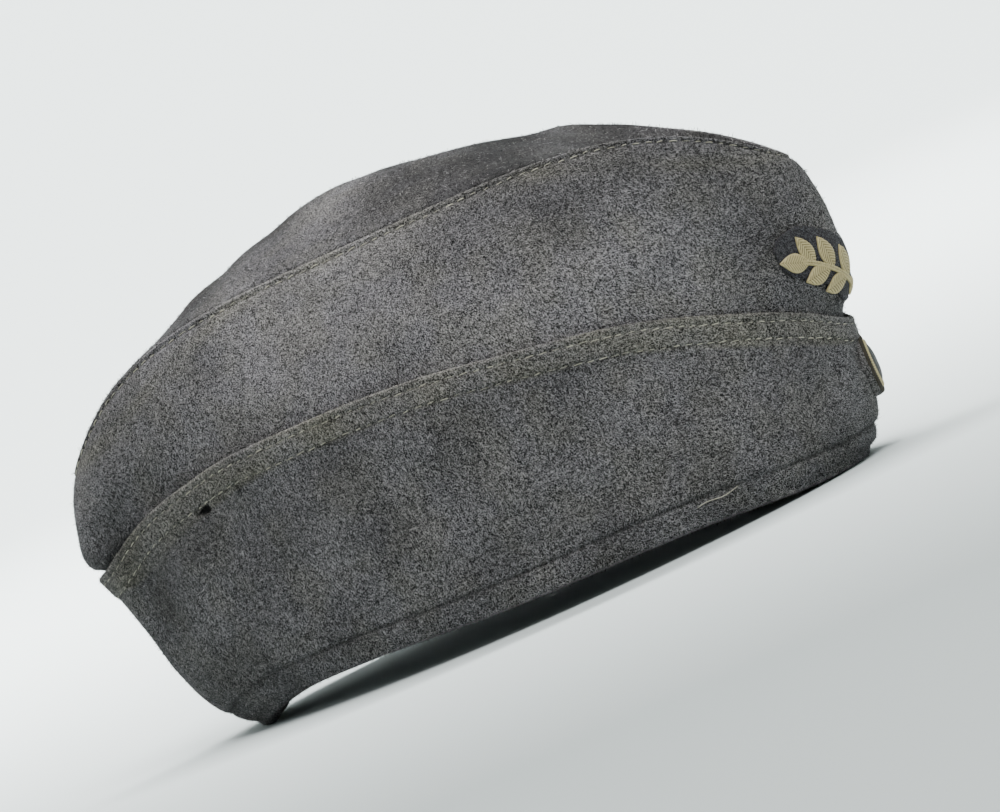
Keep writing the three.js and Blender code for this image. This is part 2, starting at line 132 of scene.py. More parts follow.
def per_metre(size):
    """A texture's scale, from the size in millimetres of what it draws."""
    return 1 / (size * MM)


FLOOR_RADIUS = 2500
WALL_RADIUS = 1800  # of the curve from the floor up
FLOOR_ROWS, WALL_ROWS, BOWL_COLUMNS = 12, 24, 97
PAPER_GRAIN = 1.11
# Uncoated paper: it takes soft shadows and hardly shines.
paper, paper_tree, paper_inputs = new_material("pale matt backdrop paper")
grain = node(paper_tree, "TexNoise", {"Scale": per_metre(PAPER_GRAIN), "Detail": 2.0})
grain_bump = node(paper_tree, "Bump", {"Height": grain.outputs["Fac"], "Strength": 0.05, "Distance": 0.0005})
paper_tree.links.new(grain_bump.outputs["Normal"], paper_inputs["Normal"])
paper_inputs["Base Color"].default_value = linear("c8d0cf")
paper_inputs["Roughness"].default_value = 0.9
paper_inputs["Specular IOR Level"].default_value = 0.1
climb = np.linspace(0, np.pi / 2, WALL_ROWS)[1:]
reach = np.concatenate([np.linspace(1, FLOOR_RADIUS, FLOOR_ROWS), FLOOR_RADIUS + WALL_RADIUS * np.sin(climb)])
rise = np.concatenate([np.zeros(FLOOR_ROWS), WALL_RADIUS * (1 - np.cos(climb))])
round_about = np.linspace(0, 2 * np.pi, BOWL_COLUMNS)
bowl = np.stack(np.broadcast_arrays(
    reach[:, None] * np.cos(round_about), reach[:, None] * np.sin(round_about), rise[:, None]
), -1)
backdrop = make_object("backdrop", bowl, grid_faces(*bowl.shape[:2]), paper)

WORLD_COLOUR, WORLD_STRENGTH = "f4f6f6", 0.43
LIGHTS = [
    {"name": "key", "at": (450, -1050, 2250), "aim": (10, 0, 66), "size": 1400, "watts": 74},
    {"name": "backdrop light", "at": (-300, 700, 2300), "aim": (-300, 3900, 700), "size": 1800, "watts": 620},
]
for row in LIGHTS:
    lamp = bpy.data.lights.new(row["name"], "AREA")
    lamp.size = row["size"] * MM
    lamp.energy = row["watts"]
    light = bpy.data.objects.new(row["name"], lamp)
    light.location = Vector(row["at"]) * MM
    light.rotation_mode = "QUATERNION"
    light.rotation_quaternion = (light.location - Vector(row["aim"]) * MM).to_track_quat("Z", "Y")
    bpy.context.scene.collection.objects.link(light)
world = bpy.data.worlds.new("studio")
world.use_nodes = True
all_round = world.node_tree.nodes["Background"].inputs
all_round["Color"].default_value = linear(WORLD_COLOUR)
all_round["Strength"].default_value = WORLD_STRENGTH
bpy.context.scene.world = world


# The cap's form, which all its wool panels share: an upright oval rim, swelling out behind and in front up to
# the seams with a boat-shaped top. The tables are those of the CAD part, but for the left ridge's heights.
CLOTH = 1.8  # thickness of the wool
GAP = 0.3
RIM_LENGTH = 225  # crown's lower edge, centre back to centre front
RIM_WIDTH = 155
RIM_ARCH = 10  # how far the rim lifts at both sides
BACK_REACH = 33  # how far the crown swells out behind its lower edge
FRONT_REACH = 22
TOP_WIDTH = 96
SEAM_HEIGHT = 139.3
TIP_HEIGHT = {"back": 106, "front": 105}
TIP_BEND = {"back": 4.6, "front": 3.7}
DOME_RISE = 19  # how far wear has stretched the top above its seams
VALLEY_SHARPNESS = 1.3
LEFT_RIDGE_LIFT = 6.8  # how far the left seam can rise above the right one in front
TURNUP_HEIGHT = 91.5
ORIGIN = 4.93  # the middle of the rim, from the middle of the whole cap


def table(names, *rows):
    """Columns by name, from rows of numbers."""
    return dict(zip(names.split(), np.array(rows, float).T))


# height runs from the rim to the seam, back and front are shares of BACK_REACH and FRONT_REACH, spread goes
# from TOP_WIDTH to RIM_WIDTH, and point narrows the ends.
LEVELS = table(
    "height back front spread point",
    (0.0, 0.0, 0.0, 1.0, 0.13),
    (0.1, 0.34, 0.34, 1.03, 0.18),
    (0.25, 0.56, 0.5, 1.05, 0.27),
    (0.42, 0.67, 0.55, 1.03, 0.38),
    (0.55, 0.76, 0.88, 0.97, 0.46),
    (0.67, 0.88, 1.0, 0.86, 0.5),
    (0.78, 1.0, 1.02, 0.67, 0.5),
    (0.89, 0.92, 0.97, 0.4, 0.49),
    (0.95, 0.83, 0.9, 0.21, 0.48),
    (1.0, 0.73, 0.76, 0.0, 0.46),
)
# share runs from the centre back to the centre front, rim is a share of RIM_ARCH, edge of TURNUP_HEIGHT, dome
# of DOME_RISE and ridge of LEFT_RIDGE_LIFT.
STATIONS = table(
    "share rim edge dome ridge",
    (0.0, 0.0, 0.764, 0.0, 0.0),
    (0.06, 0.0, 0.78, 0.05, 0.0),
    (0.11, 0.34, 0.82, 0.09, 0.0),
    (0.17, 0.69, 0.883, 0.07, 0.0),
    (0.24, 0.94, 0.947, 0.03, 0.0),
    (0.32, 1.0, 0.995, 0.3, 0.0),
    (0.4, 0.91, 1.0, 0.68, 0.0),
    (0.48, 0.79, 0.979, 0.97, 0.0),
    (0.54, 0.74, 0.938, 0.84, 0.22),
    (0.6, 0.69, 0.89, 0.42, 1.02),
    (0.65, 0.6, 0.845, 0.0, 1.13),
    (0.7, 0.46, 0.783, -0.45, 0.66),
    (0.78, 0.19, 0.681, -0.75, 0.1),
    (0.86, 0.03, 0.59, -0.6, 0.0),
    (0.9, 0.0, 0.551, -0.4, 0.0),
    (0.95, 0.0, 0.515, -0.03, 0.0),
    (1.0, 0.0, 0.5, 0.0, 0.0),
)
COLUMNS = 360  # of the mesh, from the centre back to the centre front
ENDS_FINER = 0.6  # how much closer the columns stand at both ends
RIGHT, LEFT = -1, 1
SIDES = {"right": RIGHT, "left": LEFT}


def mix(a, b, share):
    return a + (b - a) * share


def read(rows, key, column, place):
    """One column of a table at places along it: a cubic through its rows that never overshoots them."""
    x, y = rows[key], rows[column]
    slope = np.diff(y) / np.diff(x)
    before, after = slope[:-1], slope[1:]
    turns = before * after <= 0
    inner = np.where(turns, 0, 2 * before * after / np.where(turns, 1, before + after))
    tangent = np.concatenate([slope[:1], inner, slope[-1:]])
    at = np.clip(place, x[0], x[-1])
    i = np.clip(np.searchsorted(x, at, side="right") - 1, 0, len(x) - 2)
    h = x[i + 1] - x[i]
    s = (at - x[i]) / h
    ends = (1 + 2 * s) * (1 - s) ** 2 * y[i] + s**2 * (3 - 2 * s) * y[i + 1]
    return ends + s * (1 - s) ** 2 * h * tangent[i] + s**2 * (s - 1) * h * tangent[i + 1]


def station(column, angle):
    return read(STATIONS, "share", column, np.arccos(np.cos(angle)) / np.pi)


def rim_height(angle):
    return RIM_ARCH * station("rim", angle)


def edge_height(angle):
    """The turn-up's upper edge above the floor."""
    return TURNUP_HEIGHT * station("edge", angle)


def seam_height(angle, side):
    """The seam between a crown side and the top."""
    behind = np.cos(angle) > 0
    tip = np.where(behind, TIP_HEIGHT["back"], TIP_HEIGHT["front"])
    bend = np.abs(np.cos(angle)) ** np.where(behind, TIP_BEND["back"], TIP_BEND["front"])
    lift = np.where(np.asarray(side) > 0, LEFT_RIDGE_LIFT * station("ridge", angle), 0)
    return mix(SEAM_HEIGHT, tip, bend) + lift


def crown(angle, z, side):
    """The crown's outside at a height above the floor. angle is 0 at the centre back and pi at the front."""
    angle, z = np.broadcast_arrays(np.asarray(angle, float), np.asarray(z, float))
    foot = rim_height(angle) + CLOTH + GAP
    height = (z - foot) / (seam_height(angle, side) - foot)
    back_share, front_share, spread, point = (
        read(LEVELS, "height", column, height) for column in ("back", "front", "spread", "point")
    )
    along = np.cos(angle)
    swell = np.where(along > 0, BACK_REACH * back_share, FRONT_REACH * front_share)
    half = mix(TOP_WIDTH, RIM_WIDTH, spread) / 2
    y = side * half * np.sin(angle) * (1 - point * along**2)
    return np.stack([ORIGIN - along * (RIM_LENGTH / 2 + swell), y, z], -1)


def unit(vectors):
    return vectors / np.maximum(np.linalg.norm(vectors, axis=-1, keepdims=True), 1e-9)


ANGLE_STEP = 0.004
HEIGHT_STEP = 1.5
LEVEL_FOOT = 7  # up to this far above the rim the cloth's direction eases to upright


def crown_normal(angle, z, side):
    along = crown(angle + ANGLE_STEP, z, side) - crown(angle - ANGLE_STEP, z, side)
    up = crown(angle, z + HEIGHT_STEP, side) - crown(angle, z - HEIGHT_STEP, side)
    normal = unit(np.cross(along, up)) * -np.asarray(side)[..., None]
    ease = np.clip((z - rim_height(angle) - CLOTH - GAP) / LEVEL_FOOT, 0, 1)
    return unit(normal * np.stack(np.broadcast_arrays(1, 1, ease), -1))


def off_crown(angle, z, side, distance):
    """A point off the crown's outside, kept clear of the centre seams."""
    point = crown(angle, z, side) + crown_normal(angle, z, side) * np.asarray(distance)[..., None]
    point[..., 1] = side * np.maximum(side * point[..., 1], GAP / 2)
    return point


def spread_out(count, finer):
    """Places from 0 to 1 that stand closer at both ends."""
    even = np.linspace(0, 1, count)
    return even - finer * np.sin(2 * np.pi * even) / (2 * np.pi)


def even_angles(count, finer, z):
    """Angles from the centre back to the centre front, by length along the cloth at a height."""
    fine = np.linspace(0, np.pi, 2000)
    steps = np.linalg.norm(np.diff(crown(fine, z, RIGHT), axis=0), axis=1)
    length = np.concatenate([[0], np.cumsum(steps)])
    return np.interp(spread_out(count, finer) * length[-1], length, fine)


def hump(distance, width):
    """1 at no distance, falling away smoothly over a width."""
    return np.exp(-((distance / width) ** 2))


SEAM_ROUNDING = 0.9


def turned_in(distance, radius=SEAM_ROUNDING):
    """How far a turned-in edge drops away close to its seam."""
    share = 1 - np.clip(distance / radius, 0, 1)
    return radius * (1 - np.sqrt(1 - share**2))


RIPPLE_WAVES = 7
RIPPLE_PEAK = 2.6  # about the height of so many waves together


def ripple(points, length, seed):
    """Smooth uneven relief from about -1 to 1, with crests about that length apart."""
    rng = np.random.default_rng(int(seed))
    total = np.zeros(points.shape[:-1])
    for _ in range(RIPPLE_WAVES):
        way = rng.normal(size=3)
        wave = 2 * np.pi / length * rng.uniform(0.7, 1.4) / np.linalg.norm(way)
        total += np.sin(points @ way * wave + rng.uniform(0, 2 * np.pi))
    return total / RIPPLE_PEAK


def ripples(points, rows):
    """The sum of a table of ripples."""
    each = zip(rows["height"], rows["length"], rows["seed"])
    return sum(height * ripple(points, length, seed) for height, length, seed in each)


def creases(points, side, rows):
    """Depth of soft folds, each along a line on the cloth between two places."""
    depth = np.zeros(points.shape[:-1])
    for i in range(len(rows["depth"])):
        ends = [crown(rows[a][i], rows[z][i], side) for a, z in (("angle", "z"), ("to_angle", "to_z"))]
        line = ends[1] - ends[0]
        share = np.clip((points - ends[0]) @ line / (line @ line), 0, 1)
        apart = np.linalg.norm(points - ends[0] - share[..., None] * line, axis=-1)
        fade = 0.35 + 0.65 * np.sin(np.pi * np.clip(share, 0.05, 0.95))
        depth += rows["depth"][i] * fade * hump(apart, rows["width"][i])
    return depth


def closed_piece(name, panels, material):
    """A piece of closed panels, each from a grid of outside points and a coarser grid of inside ones.

    Both grids run across the panel, and each row of the inside goes back from where the outside ends.
    """
    points, faces = [], []
    for outside, inside in panels:
        loop = np.concatenate([outside, inside, outside[:, :1]], 1)
        first = sum(map(len, points))
        rows, columns = loop.shape[:2]
        faces += grid_faces(rows, columns, first).tolist()
        faces.append([first + i for i in range(columns - 1)])
        faces.append([first + (rows - 1) * columns + i for i in reversed(range(columns - 1))])
        points.append(loop.reshape(-1, 3))
    made = make_object(name, np.concatenate(points), faces, material)
    weld(made)
    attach(made, "root")
    return made


SAME_PLACE = 0.01


def weld(made):
    """Joins the points that lie on each other, and turns all faces outwards."""
    work = bmesh.new()
    work.from_mesh(made.data)
    bmesh.ops.remove_doubles(work, verts=work.verts, dist=SAME_PLACE * MM)
    bmesh.ops.recalc_face_normals(work, faces=work.faces)
    work.to_mesh(made.data)
    work.free()
    made.data.shade_smooth()


# The wool: a fulled melange of near-black, mid-grey and off-white hairs, matt and faintly furry. It has worn
# lighter and browner along the edges, and painted shade darkens it near the rim and where it turns from the
# light.
HAIR_LENGTH = 1.6
HAIR_WIDTH = 0.26  # several times a real hair's, which would be too fine to show
HAIR_TURNS = [(0.3, 0.2, 0.5), (1.2, 0.9, 2.1), (2.3, 0.4, 1.3), (0.7, 1.9, 2.8)]
HAIR_COVER = 0.97
PALE_HAIRS = {"From Min": 0.583, "From Max": 0.665, "To Max": HAIR_COVER}  # brightest stretches of the noise
DARK_HAIRS = {"From Min": 0.445, "From Max": 0.355, "To Max": HAIR_COVER}  # and its darkest ones
FADED_PATCH = 10.5
OLIVE_PATCH = 16.1
OLIVE = "fffee7"
FELT_RELIEF = 0.6


def aged(tree, colour):
    """A wool colour that has turned olive in soft patches, and wherever the attribute wear marks it."""
    place = node(tree, "TexCoord", {}).outputs["Object"]
    cloud = node(tree, "TexNoise", {"Vector": place, "Scale": per_metre(OLIVE_PATCH), "Detail": 1.0})
    patchy = {"Value": cloud.outputs["Fac"], "From Min": 0.42, "From Max": 0.62, "To Max": 0.3}
    patch = node(tree, "MapRange", patchy)
    used = node(tree, "Attribute", {}, attribute_name="wear")
    amount = node(tree, "Math", {0: patch.outputs[0], 1: used.outputs["Fac"]}, operation="MAXIMUM")
    inputs = {0: amount.outputs[0], 6: colour, 7: linear(OLIVE)}
    return node(tree, "Mix", inputs, data_type="RGBA", blend_type="MULTIPLY").outputs[2]


def wool(name, dark, body, light, worn):
    """Wool cloth in four colours. The mesh attributes bring out the worn colour where wear marks it, and the
    dark one as painted shade and soil.
    """
    material, tree, inputs = new_material(name)
    place = node(tree, "TexCoord", {}).outputs["Object"]
    hairs = []
    for turn in HAIR_TURNS:
        size = (HAIR_LENGTH * MM, HAIR_WIDTH * MM, HAIR_WIDTH * MM)
        lie = {"Vector": place, "Rotation": turn, "Scale": size}
        frame = node(tree, "Mapping", lie, vector_type="TEXTURE")
        streak = node(tree, "TexNoise", {"Vector": frame.outputs[0], "Scale": 1.0, "Detail": 1.0})
        hairs.append(streak.outputs["Fac"])
    lightest, darkest = hairs[0], hairs[0]
    for hair in hairs[1:]:
        lightest = node(tree, "Math", {0: lightest, 1: hair}, operation="MAXIMUM").outputs[0]
        darkest = node(tree, "Math", {0: darkest, 1: hair}, operation="MINIMUM").outputs[0]
    pale = node(tree, "MapRange", {"Value": lightest, **PALE_HAIRS}).outputs[0]
    deep = node(tree, "MapRange", {"Value": darkest, **DARK_HAIRS}).outputs[0]
    cloud = node(tree, "TexNoise", {"Vector": place, "Scale": per_metre(FADED_PATCH), "Detail": 3.0})
    faded = {"Value": cloud.outputs["Fac"], "From Min": 0.38, "From Max": 0.66, "To Max": 0.8}
    fade = node(tree, "MapRange", faded).outputs[0]
    used = node(tree, "Attribute", {}, attribute_name="wear").outputs["Fac"]
    shade_and_soil_amount = node(tree, "Attribute", {}, attribute_name="painted_shade_and_soil").outputs["Fac"]
    colour = linear(body)
    # The dark colour comes in twice: as deep hairs, and last as painted shade and soil from the mesh
    # attribute.
    for amount, tone in ((fade, worn), (used, worn), (deep, dark), (pale, light), (shade_and_soil_amount, dark)):
        colour = node(tree, "Mix", {0: amount, 6: colour, 7: linear(tone)}, data_type="RGBA").outputs[2]
    tree.links.new(aged(tree, colour), inputs["Base Color"])
    felt = node(tree, "Math", {0: lightest, 1: darkest}, operation="ADD")
    relief = node(tree, "Bump", {"Height": felt.outputs[0], "Strength": 0.8, "Distance": FELT_RELIEF * MM})
    tree.links.new(relief.outputs["Normal"], inputs["Normal"])
    inputs["Roughness"].default_value = 0.95
    inputs["Specular IOR Level"].default_value = 0.15
    inputs["Sheen Weight"].default_value = 0.04
    inputs["Sheen Roughness"].default_value = 0.6
    return material


def mark(made, name, values):
    """Stores a number from 0 to 1 for each point of a mesh."""
    layer = made.data.attributes.new(name, "FLOAT", "POINT")
    layer.data.foreach_set("value", np.asarray(values, np.float32).ravel())


def places_of(made):
    """A mesh's points in millimetres."""
    flat = np.zeros(len(made.data.vertices) * 3, np.float32)
    made.data.vertices.foreach_get("co", flat)
    return flat.reshape(-1, 3) / MM


MEAN_LENGTH = 265  # of the cap's sides, between the rim's length and their widest


def place_angle(points):
    """The angle round the cap of points on its sides."""
    plan = np.arctan2(np.abs(points[..., 1]) / RIM_WIDTH, (ORIGIN - points[..., 0]) / MEAN_LENGTH)
    return np.clip(plan, 0, np.pi)


body_wool = wool("fulled grey melange wool", dark="050505", body="1f1e22", light="a6a3a6", worn="33322a")

# Crown sides: two wool panels, joined at the centre front and back and topstitched along the seam with the
# top. Their lower half is out of sight under the turn-up.
STITCH_FROM_SEAM = 2.2
SEAM_RIDGE = 0.45  # the rise over the seam's allowances
BACK_BULGE = 3.6  # where the crown sags over the turn-up's corner behind
BULGE_HEIGHT = 75.5
TUCKED_IN = 1.3  # how much nearer the inside the crown lies where the turn-up hides it
SEAM_BAND = 5  # finer rows this near the seam
crown_angles = even_angles(COLUMNS, ENDS_FINER, z=40)[:, None]
wool_faces = []  # the outside of each panel, for the hairs that lie on it
CROWN_RIPPLES = table(
    "height length seed",
    (0.7, 62, 3),
    (0.25, 21, 4),
)
CROWN_FOLDS = table(
    "angle z to_angle to_z width depth",
    (0.12, 74, 0.5, 86, 5, 0.9),
    (2.62, 92, 2.3, 80, 7, 0.9),
    (1.0, 108, 1.5, 122, 14, 0.7),
)


def crown_soft(angle, z, side):
    """The crown's soft unevenness, quieter near its seams."""
    plain = crown(angle, z, side)
    below_seam = seam_height(angle, side) - z
    relief = ripples(plain, CROWN_RIPPLES) - creases(plain, side, CROWN_FOLDS)
    relief *= np.clip(below_seam / 12, 0.15, 1) * np.clip(np.abs(plain[..., 1]) / 10, 0.2, 1)
    over_edge = np.clip((z - edge_height(angle) + 1) / 4, 0, 1)
    return relief + BACK_BULGE * hump(angle, 0.45) * hump(z - BULGE_HEIGHT, 6.0) * over_edge


def crown_face(angle, z, side):
    """The crown's outside with its seams and the groove of its topstitching."""
    centre = np.abs(crown(angle, z, side)[..., 1]) - GAP / 2
    below_seam = seam_height(angle, side) - z
    relief = crown_soft(angle, z, side)
    relief += SEAM_RIDGE * hump(below_seam - STITCH_FROM_SEAM / 2, 1.0)
    relief -= 0.5 * hump(below_seam - STITCH_FROM_SEAM, 0.5)
    relief -= np.maximum(turned_in(centre), turned_in(below_seam))
    hidden = np.clip((edge_height(angle) - 5 - z) / 4, 0, 1)
    return off_crown(angle, z, side, mix(relief, -TUCKED_IN, hidden))


for side_name, side in SIDES.items():
    foot = rim_height(crown_angles) + CLOTH + GAP
    edge = edge_height(crown_angles)
    seam = seam_height(crown_angles, side) - GAP / 2
    hidden_rows = mix(foot, edge - 10, np.linspace(0, 1, 10)[:-1])
    middle_rows = mix(edge - 10, seam - SEAM_BAND, np.linspace(0, 1, 66)[:-1])
    seam_rows = seam - SEAM_BAND + SEAM_BAND * np.sin(np.linspace(0, np.pi / 2, 14))
    up = np.concatenate([hidden_rows, middle_rows, seam_rows], 1)
    outer = crown_face(crown_angles, up, side)
    way_down = np.linspace(0, 1, 32)
    down = mix(seam - 0.4, foot, way_down)
    inner = off_crown(crown_angles, down, side, np.full(down.shape, -CLOTH) - TUCKED_IN * way_down)
    panel = closed_piece(f"wool_crown_{side_name}", [(outer, inner)], body_wool)
    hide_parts(f"crown_side_{side_name}")
    shown = (edge_height(crown_angles[:, 0]) - 4)[:, None] < up
    wool_faces.append({"points": outer, "shown": shown, "side": side})


# Top: one boat-shaped wool panel between the two crown seams. Wear has domed it behind, and it falls into a
# sharp valley between the two seams in front.
TOP_ROWS = 104
TOP_RIPPLES = table(
    "height length seed",
    (0.8, 55, 8),
    (0.3, 19, 9),
)
QUIET_BAND = 14  # over which the ripples grow, from the seams in
TIP_TURN = 1.6  # how far from its two ends the panel turns down into the centre seams
NO_WIDTH = np.array([0, 0, 0.0001])  # turns the direction up where the panel has no width


def insert(angle, across):
    """The top's outside. across is 0 at the right seam and 1 at the left one."""
    angle, across = np.broadcast_arrays(angle, across)
    seams = [crown(angle, seam_height(angle, side), side) for side in (RIGHT, LEFT)]
    rise = DOME_RISE * station("dome", angle)
    shape = 1 - np.abs(2 * across - 1) ** np.where(rise > 0, 2, VALLEY_SHARPNESS)
    point = mix(*seams, across[..., None])
    point[..., 2] += rise * shape
    return point


def top_normal(angle, across):
    along = insert(angle + ANGLE_STEP, across) - insert(angle - ANGLE_STEP, across)
    over = insert(angle, across + 0.02) - insert(angle, across - 0.02)
    return unit(np.cross(along, over) + NO_WIDTH)


def end_drop(angle, across):
    """How far the panel turns down at its two ends, into the centre seams."""
    end = insert(np.where(np.cos(angle) > 0, 0, np.pi), 0.5)
    return turned_in(np.abs(insert(angle, across)[..., 0] - end[..., 0]), TIP_TURN)


def top_face(angle, across):
    plain = insert(angle, across)
    width = 2 * np.abs(crown(angle, seam_height(angle, RIGHT), RIGHT)[..., 1])
    from_seam = width * (0.5 - np.abs(across - 0.5))
    relief = ripples(plain, TOP_RIPPLES) * np.clip((from_seam - 0.5) / QUIET_BAND, 0, 1)
    point = plain + top_normal(angle, across) * relief[..., None]
    point[..., 2] -= turned_in(from_seam - GAP / 2) + end_drop(angle, across)
    return point


across = spread_out(TOP_ROWS, ENDS_FINER)[None, :]
top_outer = top_face(crown_angles, across)
across_back = np.linspace(1, 0, 36)[None, :]
top_inner = insert(crown_angles, across_back) - CLOTH * top_normal(crown_angles, across_back)
top_inner[..., 2] -= end_drop(crown_angles, across_back)
top_panel = closed_piece("wool_top", [(top_outer, top_inner)], body_wool)
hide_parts("crown_top")
wool_faces.append({"points": top_outer, "shown": np.ones(top_outer.shape[:2], bool), "side": RIGHT})

# Turn-up: one long wool band on each side, folded round the crown's lower edge and up its outside. Its upper
# edge has a doubled hem under two rows of stitching, and a third row holds the fold.
TURNUP_STAND = 0.9  # how far its upper edge stands off the crown
CORNER_STAND = 1.4  # and how much more at its corner behind
DEEPEST_SWING = 0.75  # of its cloth towards the crown
LEG_HEIGHT = 9  # inside the cap
FOLD_RADIUS = 3.0
FOLD_DEPTH = 2.4
FOLD_MIDDLE = -0.9  # under the middle of the crown's cloth
LIP_HEIGHT = 1.15
FOLD_BAND, HEM_BAND = 14, 13  # finer rows this near the fold and the upper edge
HEM_ROWS = (2.9, 9.0)  # rows of stitching, from the upper edge down
HEM_STANDS = 0.5
HEM_GROOVE = 0.5
FOLD_ROW = 9.8  # the third row, above the rim
FOLD_BULGE = 4.6  # where the cloth is fullest under it
FOLD_GROOVE = 0.7
FRONT_GROOVE = 0.8  # how much deeper the third row draws the cloth in round the centre front
FRONT_WIDTH = 0.25  # of that stretch, as an angle
MOTH_PLACE = crown(0.82, 77.6, RIGHT)
MOTH_RADIUS = 2.7
MOTH_DEPTH = 1.6
TURNUP_RIPPLES = table(
    "height length seed",
    (0.75, 50, 5),
    (0.3, 20, 6),
)
TURNUP_FOLDS = table(
    "angle z to_angle to_z width depth",
    (0.42, 60, 0.31, 26, 7, 1.4),
    (0.2, 64, 0.12, 34, 6, -0.6),
    (0.75, 14, 0.95, 40, 8, 0.5),
    (2.96, 36, 2.84, 14, 3.2, 0.9),
    (2.78, 40, 2.7, 22, 3.5, 0.6),
    (2.56, 14, 2.5, 34, 5, 0.5),
    (1.9, 16, 1.8, 52, 11, 0.6),
)


def from_moth(points):
    """Distance from the moth hole, which is ragged and broader than high."""
    away = points - MOTH_PLACE
    ragged = 0.45 * np.sin(3 * np.arctan2(away[..., 2], away[..., 0]) + 1.0)
    return np.linalg.norm(away * (0.85, 0.6, 1.5), axis=-1) + ragged


def turn_up_soft(angle, z, side):
    """How far the turn-up's cloth swings off its plain form."""
    plain = crown(angle, z, side)
    above_rim = z - rim_height(angle)
    below_edge = edge_height(angle) - z
    soft = ripples(plain, TURNUP_RIPPLES) - creases(plain, side, TURNUP_FOLDS)
    soft *= np.clip(np.abs(plain[..., 1]) / 8, 0.2, 1) * np.clip(above_rim / 9, 0.25, 1)
    return np.maximum(soft, -DEEPEST_SWING) + CORNER_STAND * hump(angle, 0.16) * hump(below_edge, 14)


def turn_up_offsets(angle, z, side):
    """How far the turn-up's outside and inside stand off the crown."""
    plain = crown(angle, z, side)
    rim, edge = rim_height(angle), edge_height(angle)
    share = np.clip((z - rim - CLOTH) / (edge - rim - CLOTH), 0, 1)
    inside = GAP + TURNUP_STAND * share**2 + turn_up_soft(angle, z, side) * np.clip(share * 6, 0, 1)
    below_edge, above_rim = edge - z, z - rim
    outside = inside + CLOTH + HEM_STANDS * np.clip((HEM_ROWS[1] + 0.6 - below_edge) / 1.2, 0, 1)
    at_front = hump(angle - np.pi, FRONT_WIDTH)
    from_centre = np.abs(plain[..., 1])
    outside += (0.35 + 0.7 * at_front) * hump(above_rim - FOLD_BULGE, 3)
    for row in HEM_ROWS:
        outside -= HEM_GROOVE * hump(below_edge - row, 0.5) * np.clip(from_centre / 6, 0.1, 1)
    groove = FOLD_GROOVE * np.clip(from_centre / 6, 0.4, 1) + FRONT_GROOVE * at_front
    outside -= groove * hump(above_rim - FOLD_ROW, 0.7 + 0.5 * at_front)
    outside -= turned_in(from_centre - GAP / 2)
    if side == RIGHT:
        outside -= MOTH_DEPTH * np.clip((MOTH_RADIUS - from_moth(plain)) / 0.7, 0, 1)
    return outside, inside


def turn_up_face(angle, z, side):
    return off_crown(angle, z, side, turn_up_offsets(angle, z, side)[0])


def turn_up_plain(angle, z, side):
    """The turn-up's outside without its folds and stitching."""
    return crown(angle, z, side) + crown_normal(angle, z, side) * (GAP + CLOTH + 0.3)


def joined(parts):
    """Heights and offsets all along a profile, from those of its parts."""
    parts = [np.broadcast_arrays(*part) for part in parts]
    return [np.concatenate(column, 1) for column in zip(*parts)]


# The profile starts at the leg's edge inside the cap and runs round the fold, up the face and over the lip.
# Its way back is down between the face and the crown, under the crown's edge and up behind the leg.
INSIDE_FOLD = table(
    "rise off",
    (2.1, GAP),
    (CLOTH, 0),
    (CLOTH, -CLOTH),
    (2.1, -CLOTH - GAP),
    (5.0, -CLOTH - GAP),
)
turn_angles = even_angles(COLUMNS, ENDS_FINER, z=25)[:, None]
for side_name, side in SIDES.items():
    rim, edge = rim_height(turn_angles), edge_height(turn_angles)
    round_leg = np.linspace(0, np.pi, 7)
    leg_inside = FOLD_MIDDLE - FOLD_RADIUS
    leg_top_height = rim + LEG_HEIGHT + CLOTH / 2 * (np.sin(round_leg) - 1)
    leg_top = (leg_top_height, leg_inside + CLOTH / 2 * (1 + np.cos(round_leg)))
    leg = (rim + np.linspace(LEG_HEIGHT - 1.5, FOLD_DEPTH + 0.5, 6), leg_inside)
    under = np.linspace(np.pi, 0, 15)
    fold = (rim + FOLD_DEPTH * (1 - np.sin(under) ** 0.6), FOLD_MIDDLE + FOLD_RADIUS * np.cos(under))
    low = rim + np.linspace(FOLD_DEPTH + 0.4, FOLD_BAND, 26)
    middle = mix(rim + FOLD_BAND, edge - HEM_BAND, np.linspace(0, 1, 52)[1:-1])
    high = edge - np.linspace(HEM_BAND, LIP_HEIGHT, 30)
    face = np.concatenate([low, middle, high], 1)
    start = np.clip((face - rim - FOLD_DEPTH) / 3, 0, 1)
    face_offset = mix(FOLD_MIDDLE + FOLD_RADIUS, turn_up_offsets(turn_angles, face, side)[0], start)
    lip_out, lip_in = turn_up_offsets(turn_angles, edge - LIP_HEIGHT, side)
    over = np.linspace(0, np.pi, 9)[1:-1]
    lip = (edge - LIP_HEIGHT + LIP_HEIGHT * np.sin(over), mix(lip_in, lip_out, 0.5 + 0.5 * np.cos(over)))
    heights, offsets = joined([leg_top, leg, fold, (face, face_offset), lip])
    outer = off_crown(turn_angles, heights, side, offsets)
    hidden = mix(edge - LIP_HEIGHT, rim + 3, np.linspace(0, 1, 18))
    hidden_offset = turn_up_offsets(turn_angles, hidden, side)[1]
    heights, offsets = joined([(hidden, hidden_offset), (rim + INSIDE_FOLD["rise"], INSIDE_FOLD["off"])])
    inner = off_crown(turn_angles, heights, side, offsets)
    panel = closed_piece(f"wool_turn_up_{side_name}", [(outer, inner)], body_wool)
    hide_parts(f"turn_up_{side_name}")
    shown = outer[:, len(round_leg):]
    wool_faces.append({"points": shown, "shown": np.ones(shown.shape[:2], bool), "side": side})

